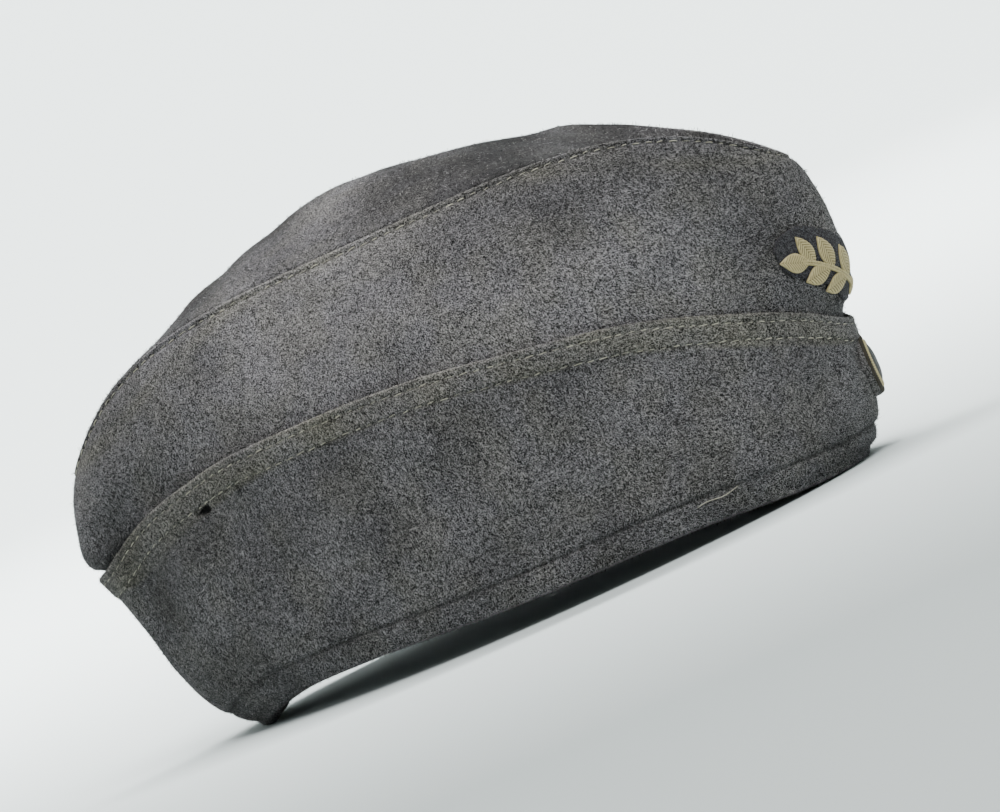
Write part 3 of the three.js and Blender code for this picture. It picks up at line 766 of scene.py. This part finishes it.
# Wear and painted shade of the shared wool: lighter and browner from wear on seams and hems, and painted
# shade on the turn-up, the ends of the crown and the top, with painted shadow inside the moth hole. Amounts
# are shares of the worn or dark colour.
# Shares of the dark colour. All but the darkening high in front are painted shade, and the hem takes less of
# it.
TURNUP_SHADE = 0.34
TOP_SHADE = 0.37
SHADE_BEHIND = {"turn_up": 0.3, "crown": 0.5}
CROWN_FRONT_SHADE = 0.5
HIGH_FRONT_DARKENING = 0.48  # of the crown and the top above the badge
HEM_LESS_SHADE = 0.14
HEM_WEAR = 0.75
SEAM_WEAR = 0.6


def shade_and_soil_of(points, name):
    angle = place_angle(points)
    patchy = 0.08 * ripple(points, 38, 14)
    if "turn_up" in name:
        # On the turn-up, painted shade: an even amount, more near the rim, behind, towards the front and in
        # the third row's groove, less on the hem.
        above_rim = points[:, 2] - rim_height(angle)
        on_hem = np.clip((HEM_ROWS[1] - edge_height(angle) + points[:, 2]) / 3, 0, 1)
        painted_shade_and_soil = TURNUP_SHADE + 0.04 * np.clip(1 - above_rim / 30, 0, 1) - HEM_LESS_SHADE * on_hem
        painted_shade_and_soil += SHADE_BEHIND["turn_up"] * hump(angle, 0.8) + 0.1 * np.clip((angle - 2.3) / 0.4, 0, 1)
        painted_shade_and_soil += 0.2 * hump(above_rim - FOLD_ROW, 0.7)
        # The moth hole is filled with painted shadow, the dark colour in full.
        in_hole = (points[:, 1] < 0) & (from_moth(points) < MOTH_RADIUS - 0.3)
        return np.clip(np.where(in_hole, 1, painted_shade_and_soil + patchy), 0, 1)
    # On the crown and the top: painted shade at the front and back, which turn from the light, a painted
    # shadow under the bulge behind just above the turn-up's edge, and painted shade over the top, which faces
    # the light. High in front they also darken.
    front = CROWN_FRONT_SHADE * np.clip((angle - 2.2) / 0.6, 0, 1)
    high_front = HIGH_FRONT_DARKENING * np.clip((points[:, 2] - 98) / 25, 0, 1)
    high_front *= np.clip((angle - 1.3) / 0.6, 0, 1)
    behind = SHADE_BEHIND["crown"] * hump(angle, 0.8)
    shadow_under_bulge = 0.35 * hump(angle, 0.5) * np.clip((edge_height(angle) + 11 - points[:, 2]) / 11, 0, 1)
    above = TOP_SHADE if "top" in name else 0.0
    return np.clip(np.maximum(front, high_front) + behind + shadow_under_bulge + above + patchy, 0, 1)


def wearing(points, name):
    side = np.where(points[:, 1] < 0, RIGHT, LEFT)
    angle = place_angle(points)
    if "turn_up" in name:
        wear = HEM_WEAR * np.clip((HEM_ROWS[1] + 1.5 - edge_height(angle) + points[:, 2]) / 2, 0, 1)
    else:
        wear = SEAM_WEAR * hump(seam_height(angle, side) - points[:, 2], 4.5) * ("top" not in name)
    return np.clip(wear * (0.8 + 0.3 * ripple(points, 24, 12)), 0, 1)


for made in [o for o in bpy.data.objects if o.name.startswith("wool_")]:
    mark(made, "wear", wearing(places_of(made), made.name))
    mark(made, "painted_shade_and_soil", shade_and_soil_of(places_of(made), made.name))

# Sewing thread: worn pale cotton in machine stitches, each arching out of the cloth and back into it. One row
# runs under each crown seam, two round the hem and a darker one above the fold.
STITCH_PITCH = 4.5
STITCH_LENGTH = 3.2
STITCH_THICK = 0.32
STITCH_SIDES = 6
STITCH_RINGS = 6
STITCH_SLANT = 0.1
STITCH_WEAR = [0.45, 0.7, 0.9, 1.1]  # what is left of a stitch's thickness
THREAD_MOTTLE = 1.43
THREAD_FUZZ = 0.286
THREAD_RELIEF = 0.1


def thread_material(name, tint, dark, groove, roughness):
    """Spun thread in a mottled colour, with painted shade in the grooves between its turns."""
    material, tree, inputs = new_material(name)
    place = node(tree, "TexCoord", {}).outputs["Object"]
    mottle = node(tree, "TexNoise", {"Vector": place, "Scale": per_metre(THREAD_MOTTLE), "Detail": 3.0})
    tone = node(tree, "Mix", {0: mottle.outputs["Fac"], 6: linear(dark), 7: linear(tint)}, data_type="RGBA")
    # Pointiness picks out the hollows between the turns, which get the groove colour as painted shade.
    bend = node(tree, "NewGeometry", {}).outputs["Pointiness"]
    ridge = node(tree, "MapRange", {"Value": bend, "From Min": 0.465, "From Max": 0.51, "To Min": 0.15})
    final = node(tree, "Mix", {0: ridge.outputs[0], 6: linear(groove), 7: tone.outputs[2]}, data_type="RGBA")
    tree.links.new(final.outputs[2], inputs["Base Color"])
    fuzz = node(tree, "TexNoise", {"Vector": place, "Scale": per_metre(THREAD_FUZZ), "Detail": 2.0})
    hairy = {"Height": fuzz.outputs["Fac"], "Strength": 0.4, "Distance": THREAD_RELIEF * MM}
    relief = node(tree, "Bump", hairy)
    tree.links.new(relief.outputs["Normal"], inputs["Normal"])
    inputs["Roughness"].default_value = roughness
    inputs["Specular IOR Level"].default_value = 0.2
    return material


def stitches(face, side, height, seed):
    """One row of uneven stitches on a face at a height for each angle, as points of small bent tubes."""
    rng = np.random.default_rng(seed)
    fine = np.linspace(0.02, np.pi - 0.02, 1500)
    path = face(fine, height(fine), side)
    length = np.concatenate([[0], np.cumsum(np.linalg.norm(np.diff(path, axis=0), axis=1))])
    middles = np.arange(STITCH_PITCH, length[-1] - STITCH_PITCH, STITCH_PITCH)
    middles = middles + rng.normal(0, 0.25, middles.shape)
    place = np.linspace(-0.5, 0.5, STITCH_RINGS)
    at = middles[:, None] + place * STITCH_LENGTH * rng.uniform(0.7, 1.25, (len(middles), 1))
    angle = np.interp(at, length, fine)
    slant = rng.normal(STITCH_SLANT, 0.05, (len(middles), 1)) * place * STITCH_LENGTH
    spots = face(angle, height(angle) + slant + rng.normal(0, 0.12, (len(middles), 1)), side)
    along = unit(np.gradient(spots, axis=1))
    out = crown_normal(angle, height(angle), side)
    over = unit(np.cross(along, out))
    lift = STITCH_THICK * (1.25 - 0.75 * (2 * place) ** 2) - 0.6 * np.abs(2 * place) ** 6
    spots = spots + out * lift[None, :, None]
    turn = np.linspace(0, 2 * np.pi, STITCH_SIDES, endpoint=False)
    worn = rng.choice(STITCH_WEAR, len(middles))[:, None, None, None]
    radius = worn * STITCH_THICK / 2 * np.sqrt(1 - 0.75 * (2 * place) ** 4)[None, :, None, None]
    ring = np.cos(turn)[:, None] * over[:, :, None] + np.sin(turn)[:, None] * out[:, :, None]
    return spots[:, :, None] + radius * ring


def join_tubes(name, groups, material):
    """Many small tubes as one mesh. Each group is rows of tubes of rings of points."""
    points, faces, first = [], [], 0
    for tubes in groups:
        count, rings, sides = tubes.shape[:3]
        closed = grid_faces(rings, sides + 1)
        closed = (closed // (sides + 1)) * sides + (closed % (sides + 1)) % sides
        starts = first + np.arange(count)[:, None, None] * rings * sides
        faces.append((closed[None] + starts).reshape(-1, 4))
        points.append(tubes.reshape(-1, 3))
        first += tubes.size // 3
    made = make_object(name, np.concatenate(points), np.concatenate(faces), material)
    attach(made, "root")
    return made


# Cotton, matt and a little hairy: pale where it has been washed and rubbed, dark where it was sewn in black.
# Each groove colour is the painted shade between a thread's turns.
pale_thread = thread_material(
    "worn sewing thread", tint="c8c4b3", dark="858273", groove="45443e", roughness=0.7
)
dark_thread = thread_material(
    "dark sewing thread", tint="4c4b47", dark="1f1f21", groove="101012", roughness=0.7
)
hem_stitches, seam_stitches, fold_stitches = [], [], []
for side in SIDES.values():
    for row in HEM_ROWS:
        hem_stitches.append(stitches(turn_up_face, side, lambda a, r=row: edge_height(a) - r, 20 + side))
    fold_stitches.append(stitches(turn_up_face, side, lambda a: rim_height(a) + FOLD_ROW, 30 + side))
    seam_stitches.append(
        stitches(crown_face, side, lambda a, s=side: seam_height(a, s) - STITCH_FROM_SEAM, 40 + side)
    )
join_tubes("hem_stitching", hem_stitches, pale_thread)
join_tubes("seam_stitching", seam_stitches, pale_thread)
join_tubes("fold_stitching", fold_stitches, dark_thread)

# Loose thread: an end of pale cotton sewing thread that has worked out of the third row. It is still held in
# the cloth behind, and the rest lies on the turn-up.
END_FROM, END_TO = 2.08, 2.222  # angles round the cap
END_HEIGHTS = (7.2, 9.0)  # above the rim
END_STEPS = 26
END_THICK = 0.27
run = np.linspace(0, 1, END_STEPS)
end_angle = mix(END_FROM, END_TO, run)
end_height = mix(*END_HEIGHTS, run) + rim_height(end_angle) + 0.4 * np.sin(7.5 * run)
spots = turn_up_face(end_angle, end_height, RIGHT)
out = crown_normal(end_angle, end_height, RIGHT)
along = unit(np.gradient(spots, axis=0))
over = unit(np.cross(along, out))
spots = spots + out * (0.05 + 0.7 * run * np.sin(np.pi * run))[:, None]
turn = np.linspace(0, 2 * np.pi, 8, endpoint=False)[None, :, None]
thin = (END_THICK / 2 * np.sqrt(1 - 0.8 * np.abs(2 * run - 1) ** 6))[:, None, None]
loose_end = spots[:, None] + thin * (np.cos(turn) * over[:, None] + np.sin(turn) * out[:, None])
join_tubes("loose_thread_end", [loose_end[None]], pale_thread)

# Badge: a dark wool backing, sewn to the front of the crown, with two leaf sprays in thick cream satin stitch
# that meet at a round knot. Each half of a leaf is a row of slanting threads over padding.
BADGE_HALF_WIDTH = 33  # along the cloth, from the centre front
BADGE_FOOT = 54  # lowest embroidery, above the floor
BADGE_HEIGHT = 26
BACKING_STAND = 0.15
BACKING_CLOTH = 1.0
LEAF_LENGTH = 13.8
LEAF_WIDTH = 7.0
LEAF_POINT = 0.9  # under 1 the leaf is broadest nearer its base
LEAF_RISE = 0.85
LEAF_EDGE = 0.35
STEM_WIDTH = 1.9
STEM_LENGTH = 24
PADDING = 0.2
STEM_START, STEM_END = 0.05, 0.8  # as shares of the half width
KNOT_RADIUS = 2.7
RIB_PITCH = 1.05  # from one bundle of threads to the next
RIB_DEPTH = 0.34
RIB_SLANT = 0.75  # how far a thread runs along the leaf for each step across it
# low and high bound the backing and stem is the stem's height, as shares of BADGE_HEIGHT above BADGE_FOOT.
BADGE_ROWS = table(
    "out low high stem",
    (0.0, -0.1, 0.42, 0.06),
    (0.15, -0.08, 0.72, 0.17),
    (0.4, 0.13, 0.93, 0.37),
    (0.7, 0.36, 1.07, 0.57),
    (0.95, 0.5, 1.02, 0.68),
    (1.06, 0.64, 0.9, 0.72),
)
# out is where a leaf leaves the stem, as a share of the half width, and turn its angle in degrees.
LEAVES = table(
    "out turn size",
    (0.16, 82, 0.84),
    (0.2, -8, 0.84),
    (0.4, 78, 0.9),
    (0.44, -4, 0.9),
    (0.63, 72, 0.84),
    (0.7, 18, 0.95),
)
FRONT_STEPS = np.linspace(0, 0.9, 220)


def front_angle(face, distance, z):
    """The angle at a distance along a face from the centre front, and the side it is on."""
    side = np.where(distance < 0, RIGHT, LEFT)
    path = face(np.pi - FRONT_STEPS, z[..., None], side[..., None])
    steps = np.linalg.norm(np.diff(path, axis=-2), axis=-1)
    length = np.concatenate([np.zeros(z.shape + (1,)), np.cumsum(steps, -1)], -1)
    flat = zip(np.abs(distance).ravel(), length.reshape(-1, length.shape[-1]))
    walked = np.array([np.interp(d, row, FRONT_STEPS) for d, row in flat]).reshape(z.shape)
    return np.pi - walked, side


def on_crown_front(distance, z, stand):
    distance, z, stand = np.broadcast_arrays(*(np.asarray(v, float) for v in (distance, z, stand)))
    angle, side = front_angle(crown, distance, z)
    soft = np.where(side == RIGHT, crown_soft(angle, z, RIGHT), crown_soft(angle, z, LEFT))
    return crown(angle, z, side) + crown_normal(angle, z, side) * (stand + soft)[..., None]


def badge_at(column, out):
    return BADGE_FOOT + BADGE_HEIGHT * read(BADGE_ROWS, "out", column, out)


def padded(distance, z, top, bottom):
    """A raised strip: its outside dips to the backing at both edges, and its inside is flat."""
    sides = [on_crown_front(distance[:, i], z[:, i], bottom)[:, None] for i in (0, -1)]
    outside = np.concatenate([sides[0], on_crown_front(distance, z, top), sides[1]], 1)
    inside = on_crown_front(distance[:, -2:0:-4], z[:, -2:0:-4], bottom)
    return outside, inside


def satin(off, along, width):
    """Height of padded satin stitch. off runs from -1 to 1 across it and along is in millimetres."""
    lane = np.abs(off)
    dome = np.sqrt(np.clip(1 - (2 * lane - 0.9) ** 2 / 1.25, 0, 1))
    ribs = np.abs(np.cos(np.pi * (along + RIB_SLANT * width / 2 * lane) / RIB_PITCH)) ** 0.6
    return mix(LEAF_EDGE, LEAF_RISE, dome) + RIB_DEPTH * (ribs - 0.7)


backing_wool = wool(
    "dark blue-grey backing wool", dark="060607", body="16161a", light="4a494f", worn="1d1d1d"
)
# Mercerised cotton, yellowed with age: smoother than sewing thread, with a dull shine along each turn.
# Its groove colour is painted shade between the turns.
cream_thread = thread_material(
    "cream embroidery thread", tint="b6aa80", dark="8f845c", groove="473e27", roughness=0.55
)
STITCH_BOTTOM = BACKING_STAND + BACKING_CLOTH - 0.2
widest = BADGE_ROWS["out"][-1]
out = np.sin(np.linspace(-np.pi / 2, np.pi / 2, 121))[:, None] * widest
share = spread_out(44, 0.7)[None, :]
low, high = (badge_at(column, np.abs(out)) for column in ("low", "high"))
distance, z = np.broadcast_arrays(out * BADGE_HALF_WIDTH, mix(low, high, share))
from_rim = np.minimum(share, 1 - share) * (high - low)
from_end = (widest - np.abs(out)) * BADGE_HALF_WIDTH
rounded = turned_in(np.minimum(from_rim, from_end + 0.2), 0.6)
top = BACKING_STAND + BACKING_CLOTH - 0.9 * rounded + 0.12 * ripple(np.stack([distance, z, 0 * z], -1), 7, 61)
backing_outer = on_crown_front(distance, z, top)
backing_inner = on_crown_front(distance[:, ::-6], z[:, ::-6], BACKING_STAND - 0.2)
backing = closed_piece("badge_backing_wool", [(backing_outer, backing_inner)], backing_wool)
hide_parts("badge_backing")

off = np.linspace(-1, 1, 21)[None, :]
for side_name, side in SIDES.items():
    along = np.linspace(0, 1, 66)[:, None]
    stem_out = mix(STEM_START, STEM_END, along)
    thick = STITCH_BOTTOM + PADDING + satin(off, along * STEM_LENGTH, STEM_WIDTH)
    distance, z = np.broadcast_arrays(
        side * stem_out * BADGE_HALF_WIDTH, badge_at("stem", stem_out) + off * STEM_WIDTH / 2
    )
    parts = [padded(distance, z, thick, STITCH_BOTTOM)]
    for out, turn, size in zip(LEAVES["out"], np.radians(LEAVES["turn"]), LEAVES["size"]):
        along = np.linspace(0.01, 0.99, 90)[:, None]
        half = LEAF_WIDTH / 2 * size * np.sin(np.pi * along**LEAF_POINT)
        reach = along * size * LEAF_LENGTH
        across = off * half
        distance = side * (out * BADGE_HALF_WIDTH + reach * np.cos(turn) - across * np.sin(turn))
        z = badge_at("stem", out) + reach * np.sin(turn) + across * np.cos(turn)
        fullness = np.clip(half / 1.2, 0.35, 1)
        thick = STITCH_BOTTOM + PADDING + satin(off, reach, 2 * half) * fullness
        parts.append(padded(distance, z, thick, STITCH_BOTTOM))
    sprig = closed_piece(f"embroidered_sprig_{side_name}", parts, cream_thread)
    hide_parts(f"badge_sprig_{side_name}")

knot_turn = np.linspace(0, 2 * np.pi, 49)[:, None]
knot_share = np.linspace(1, 0.02, 14)[None, :]
knot_y = KNOT_RADIUS * knot_share * np.cos(knot_turn)
knot_z = badge_at("stem", 0) + KNOT_RADIUS * knot_share * np.sin(knot_turn)
knot_ribs = np.abs(np.cos(np.pi * (knot_y + 0.4 * knot_z) / RIB_PITCH)) ** 0.6
knot_top = STITCH_BOTTOM + PADDING + 0.8 * np.sqrt(1 - knot_share**2) + RIB_DEPTH * (knot_ribs - 0.7)
knot_outer = on_crown_front(knot_y, knot_z, np.where(knot_share == 1, STITCH_BOTTOM, knot_top))
knot_inner = on_crown_front(knot_y[:, ::-6], knot_z[:, ::-6], STITCH_BOTTOM)
knot = closed_piece("embroidered_knot", [(knot_outer, knot_inner)], cream_thread)
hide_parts("badge_knot")

# Whip stitches: dark cotton thread, sewn by hand over the backing's edge and into the crown. They hold the
# backing flat, and show as short bars across its edge.
WHIP_PITCH = 3.4
WHIP_REACH = 1.1
WHIP_THICK = 0.34
edge_out = np.linspace(-0.99, 0.99, 400) * widest
tacks = []
for column, way in (("low", -1), ("high", 1)):
    edge_line = on_crown_front(edge_out * BADGE_HALF_WIDTH, badge_at(column, np.abs(edge_out)), 0.0)
    length = np.concatenate([[0], np.cumsum(np.linalg.norm(np.diff(edge_line, axis=0), axis=1))])
    middles = np.arange(WHIP_PITCH / 2, length[-1], WHIP_PITCH)
    spot = np.interp(middles, length, edge_out)[:, None]
    place = np.linspace(-1, 1, 7)[None, :]
    rise = badge_at(column, np.abs(spot)) - way * place * WHIP_REACH
    stand = BACKING_STAND + BACKING_CLOTH * np.clip(0.3 + 0.9 * place, -0.1, 0.95) + 0.12 * (1 - place**2)
    run = on_crown_front(spot * BADGE_HALF_WIDTH + 0.5 * place, rise, stand)
    along = unit(np.gradient(run, axis=1))
    over = unit(np.cross(along, (1, 0, 0)))
    out_way = np.cross(over, along)
    turn = np.linspace(0, 2 * np.pi, 5, endpoint=False)
    ring = np.cos(turn)[:, None] * over[:, :, None] + np.sin(turn)[:, None] * out_way[:, :, None]
    tacks.append(run[:, :, None] + WHIP_THICK / 2 * ring)
join_tubes("badge_edge_stitches", tacks, dark_thread)

# Cockade: a padded wool disc on the front of the turn-up, with a rim wound in worn brown cord, a narrow ring
# of cream ribbed braid and a broad dark centre. It bellies out, and its edge is drawn down to the cloth.
COCKADE_RADIUS = 11
COCKADE_HEIGHT = 28  # its centre, above the floor
COCKADE_STAND = 1.9  # of the backing's face in its middle, off the turn-up's plane
COCKADE_DROP = 1.9  # how much less at its edge
DISC_PROFILE = table(
    "share height",
    (1.0, -3.0),
    (1.0, -0.7),
    (0.985, -0.25),
    (0.95, -0.05),
    (0.9, 0),
    (0.8, 0),
    (0.6, 0),
    (0.4, 0),
    (0.2, 0),
    (0.02, 0),
)
CORD_PITCH = 0.9
BRAID_PITCH = 0.75
DISC_DARKENING = 0.45
disc_plane = turn_up_face(np.pi, COCKADE_HEIGHT + COCKADE_RADIUS, RIGHT)[0]


def on_cockade(turn, share, height):
    """A place on the disc, share out from its centre, at a height off its face."""
    turn, share, height = np.broadcast_arrays(turn, share, height)
    y = COCKADE_RADIUS * share * np.cos(turn)
    z = COCKADE_HEIGHT + COCKADE_RADIUS * share * np.sin(turn)
    x = disc_plane + COCKADE_STAND - COCKADE_DROP * share**3 + height
    return np.stack([x, y, z], -1)


def cockade_ring(name, replaced, inner, outer, rise, steps, relief, material):
    """A raised ring on the disc, or a dome where it starts at the centre.

    relief gives its fine height from the turn and the lane, which runs from -1 to 1 across it.
    """
    turn = np.linspace(0, 2 * np.pi, steps)[:, None]
    lane = np.sin(np.linspace(-np.pi / 2, np.pi / 2, 17))[None, :]
    share = mix(inner, outer, 0.5 + 0.5 * lane)
    profile = np.sqrt(1 - np.where(inner < 0.1, 0.5 + 0.5 * lane, lane) ** 2)
    ring_top = on_cockade(turn, share, (rise + relief(turn, lane)) * profile)
    ring_back = on_cockade(turn, np.linspace(outer, inner, 4)[None, :], -0.3)
    made = closed_piece(name, [(ring_top, ring_back)], material)
    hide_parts(replaced)


def ribs_round(share, pitch):
    """How many ribs go round the disc at a share of its radius."""
    return round(2 * np.pi * share * COCKADE_RADIUS / pitch)


def wound(turn, lane):
    """Cord wound round a core: many ribs, slanted."""
    return 0.13 * np.cos(ribs_round(0.87, CORD_PITCH) * turn + 1.6 * lane)


def braided(turn, lane):
    return 0.11 * np.cos(ribs_round(0.62, BRAID_PITCH) * turn + 2.5 * np.abs(lane))


def button(turn, lane):
    return 0.05 * np.cos(9 * turn) * (1 - np.abs(lane)) + 0.04 * np.cos(26 * turn)


# Cotton cord: near-black in the centre, and rubbed down to a dull brown on the rim.
# Their groove colours are painted shade between the turns.
dark_cord = thread_material("dark wound cord", tint="1b1c1b", dark="0a0a0b", groove="030303", roughness=0.6)
worn_cord = thread_material("worn brown cord", tint="3b3529", dark="191713", groove="0a0908", roughness=0.7)
disc_turn = np.linspace(0, 2 * np.pi, 121)[:, None]
disc_share, disc_height = DISC_PROFILE["share"][None, :], DISC_PROFILE["height"][None, :]
fibrous = 0.12 * np.cos(61 * disc_turn) * (disc_height < -0.2)
disc_front = on_cockade(disc_turn, disc_share + 0.006 * np.cos(37 * disc_turn), disc_height + fibrous)
disc_back = on_cockade(disc_turn, np.array([0.02, 0.5, 1.0])[None, :], -4.2)
for points in (disc_front[:, :1], disc_back):
    spots = points.reshape(-1, 3)
    angle, side_of = front_angle(turn_up_plain, spots[:, 1], spots[:, 2])
    points[..., 0] = (turn_up_plain(angle, spots[:, 2], side_of)[..., 0] - 0.2).reshape(points.shape[:-1])
disc = closed_piece("cockade_disc", [(disc_front, disc_back)], body_wool)
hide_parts("cockade_backing")
# An even share of the dark colour over all of the disc's wool.
mark(disc, "painted_shade_and_soil", np.full(len(disc.data.vertices), DISC_DARKENING))
cockade_ring(
    "cockade_rim_cord", "cockade_rim", inner=0.83, outer=0.98, rise=0.5, steps=541,
    relief=wound, material=worn_cord,
)
cockade_ring(
    "cockade_braid", "cockade_ring", inner=0.66, outer=0.81, rise=0.5, steps=541,
    relief=braided, material=cream_thread,
)
cockade_ring(
    "cockade_button", "cockade_centre", inner=0.01, outer=0.65, rise=0.9, steps=161,
    relief=button, material=dark_cord,
)

# Nap: the wool's loose surface hairs, which lie every way and nearly flat on the fulled cloth. Each is a thin
# kite with a bend in it, broader than a real hair, so that it shows.
NAP_HAIRS = {"wool_nap_crown": 42000, "wool_nap_top": 22000, "wool_nap_turn_up": 62000}
NAP_LENGTH = (1.0, 2.6)
NAP_WIDTH = (0.14, 0.26)
NAP_LIFT = 0.13
NAP_SPREAD = (0.32, 0.85)  # shape of the beta spread of shades: most hairs near-black, some off-white
# Wool hair from the same melange: each is dark or pale along its whole length, and hardly shines.
nap_hair, nap_tree, nap_inputs = new_material("loose wool hairs")
shade = node(nap_tree, "Attribute", {}, attribute_name="shade")
shades = {0: shade.outputs["Fac"], 6: linear("040404"), 7: linear("a6a3a5")}
nap_tone = node(nap_tree, "Mix", shades, data_type="RGBA")
nap_tree.links.new(aged(nap_tree, nap_tone.outputs[2]), nap_inputs["Base Color"])
nap_inputs["Roughness"].default_value = 0.85
nap_inputs["Specular IOR Level"].default_value = 0.2


def nap(face, count, rng):
    """Bent hairs on one face, as four points each."""
    grid, shown = (face[key][:: -face["side"]] for key in ("points", "shown"))
    corner = grid[:-1, :-1].reshape(-1, 3)
    along = (grid[1:, :-1] - grid[:-1, :-1]).reshape(-1, 3)
    up = (grid[:-1, 1:] - grid[:-1, :-1]).reshape(-1, 3)
    normal = np.cross(along, up)
    area = np.linalg.norm(normal, axis=1) * shown[:-1, :-1].ravel()
    cell = rng.choice(len(area), count, p=area / area.sum())
    root = corner[cell] + along[cell] * rng.random((count, 1)) + up[cell] * rng.random((count, 1))
    out = unit(normal[cell])
    first = unit(along[cell])
    second = np.cross(out, first)
    turn = rng.uniform(0, 2 * np.pi, (count, 1))
    bent = turn + rng.normal(0, 0.55, (count, 1))
    ways = [first * np.cos(t) + second * np.sin(t) for t in (turn, bent)]
    half = rng.uniform(*NAP_LENGTH, (count, 1)) / 2
    lift = np.minimum(rng.exponential(NAP_LIFT, (count, 1)), 0.7)
    middle = root + ways[0] * half + out * (lift + 0.06)
    tip = middle + ways[1] * half + out * (lift * rng.uniform(-0.6, 1.0, (count, 1)))
    flat = np.cross(out, ways[0]) * rng.uniform(*NAP_WIDTH, (count, 1)) / 2
    hairs = np.stack([root + out * 0.02, middle - flat, tip, middle + flat], 1)
    hairs[..., 2] = np.maximum(hairs[..., 2], 0)
    return hairs


def nap_object(name, faces, seed):
    rng = np.random.default_rng(seed)
    hairs = np.concatenate([nap(face, NAP_HAIRS[name] // len(faces), rng) for face in faces])
    first = np.arange(len(hairs))[:, None] * 4
    corners = np.concatenate([first + (0, 1, 3), first + (1, 2, 3)])
    made = make_object(name, hairs, corners, nap_hair)
    # The hairs take the painted shade of the cloth under them, which darkens them.
    painted_shade_and_soil = shade_and_soil_of(hairs[:, 0], name)
    pale = rng.beta(*NAP_SPREAD, len(hairs)) ** (1 + 1.6 * painted_shade_and_soil) * (1 - 0.4 * painted_shade_and_soil)
    mark(made, "wear", np.repeat(wearing(hairs[:, 0], name), 4))
    mark(made, "shade", np.repeat(pale, 4))
    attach(made, "root")


nap_object("wool_nap_crown", wool_faces[:2], 51)
nap_object("wool_nap_top", wool_faces[2:3], 52)
nap_object("wool_nap_turn_up", wool_faces[3:], 53)
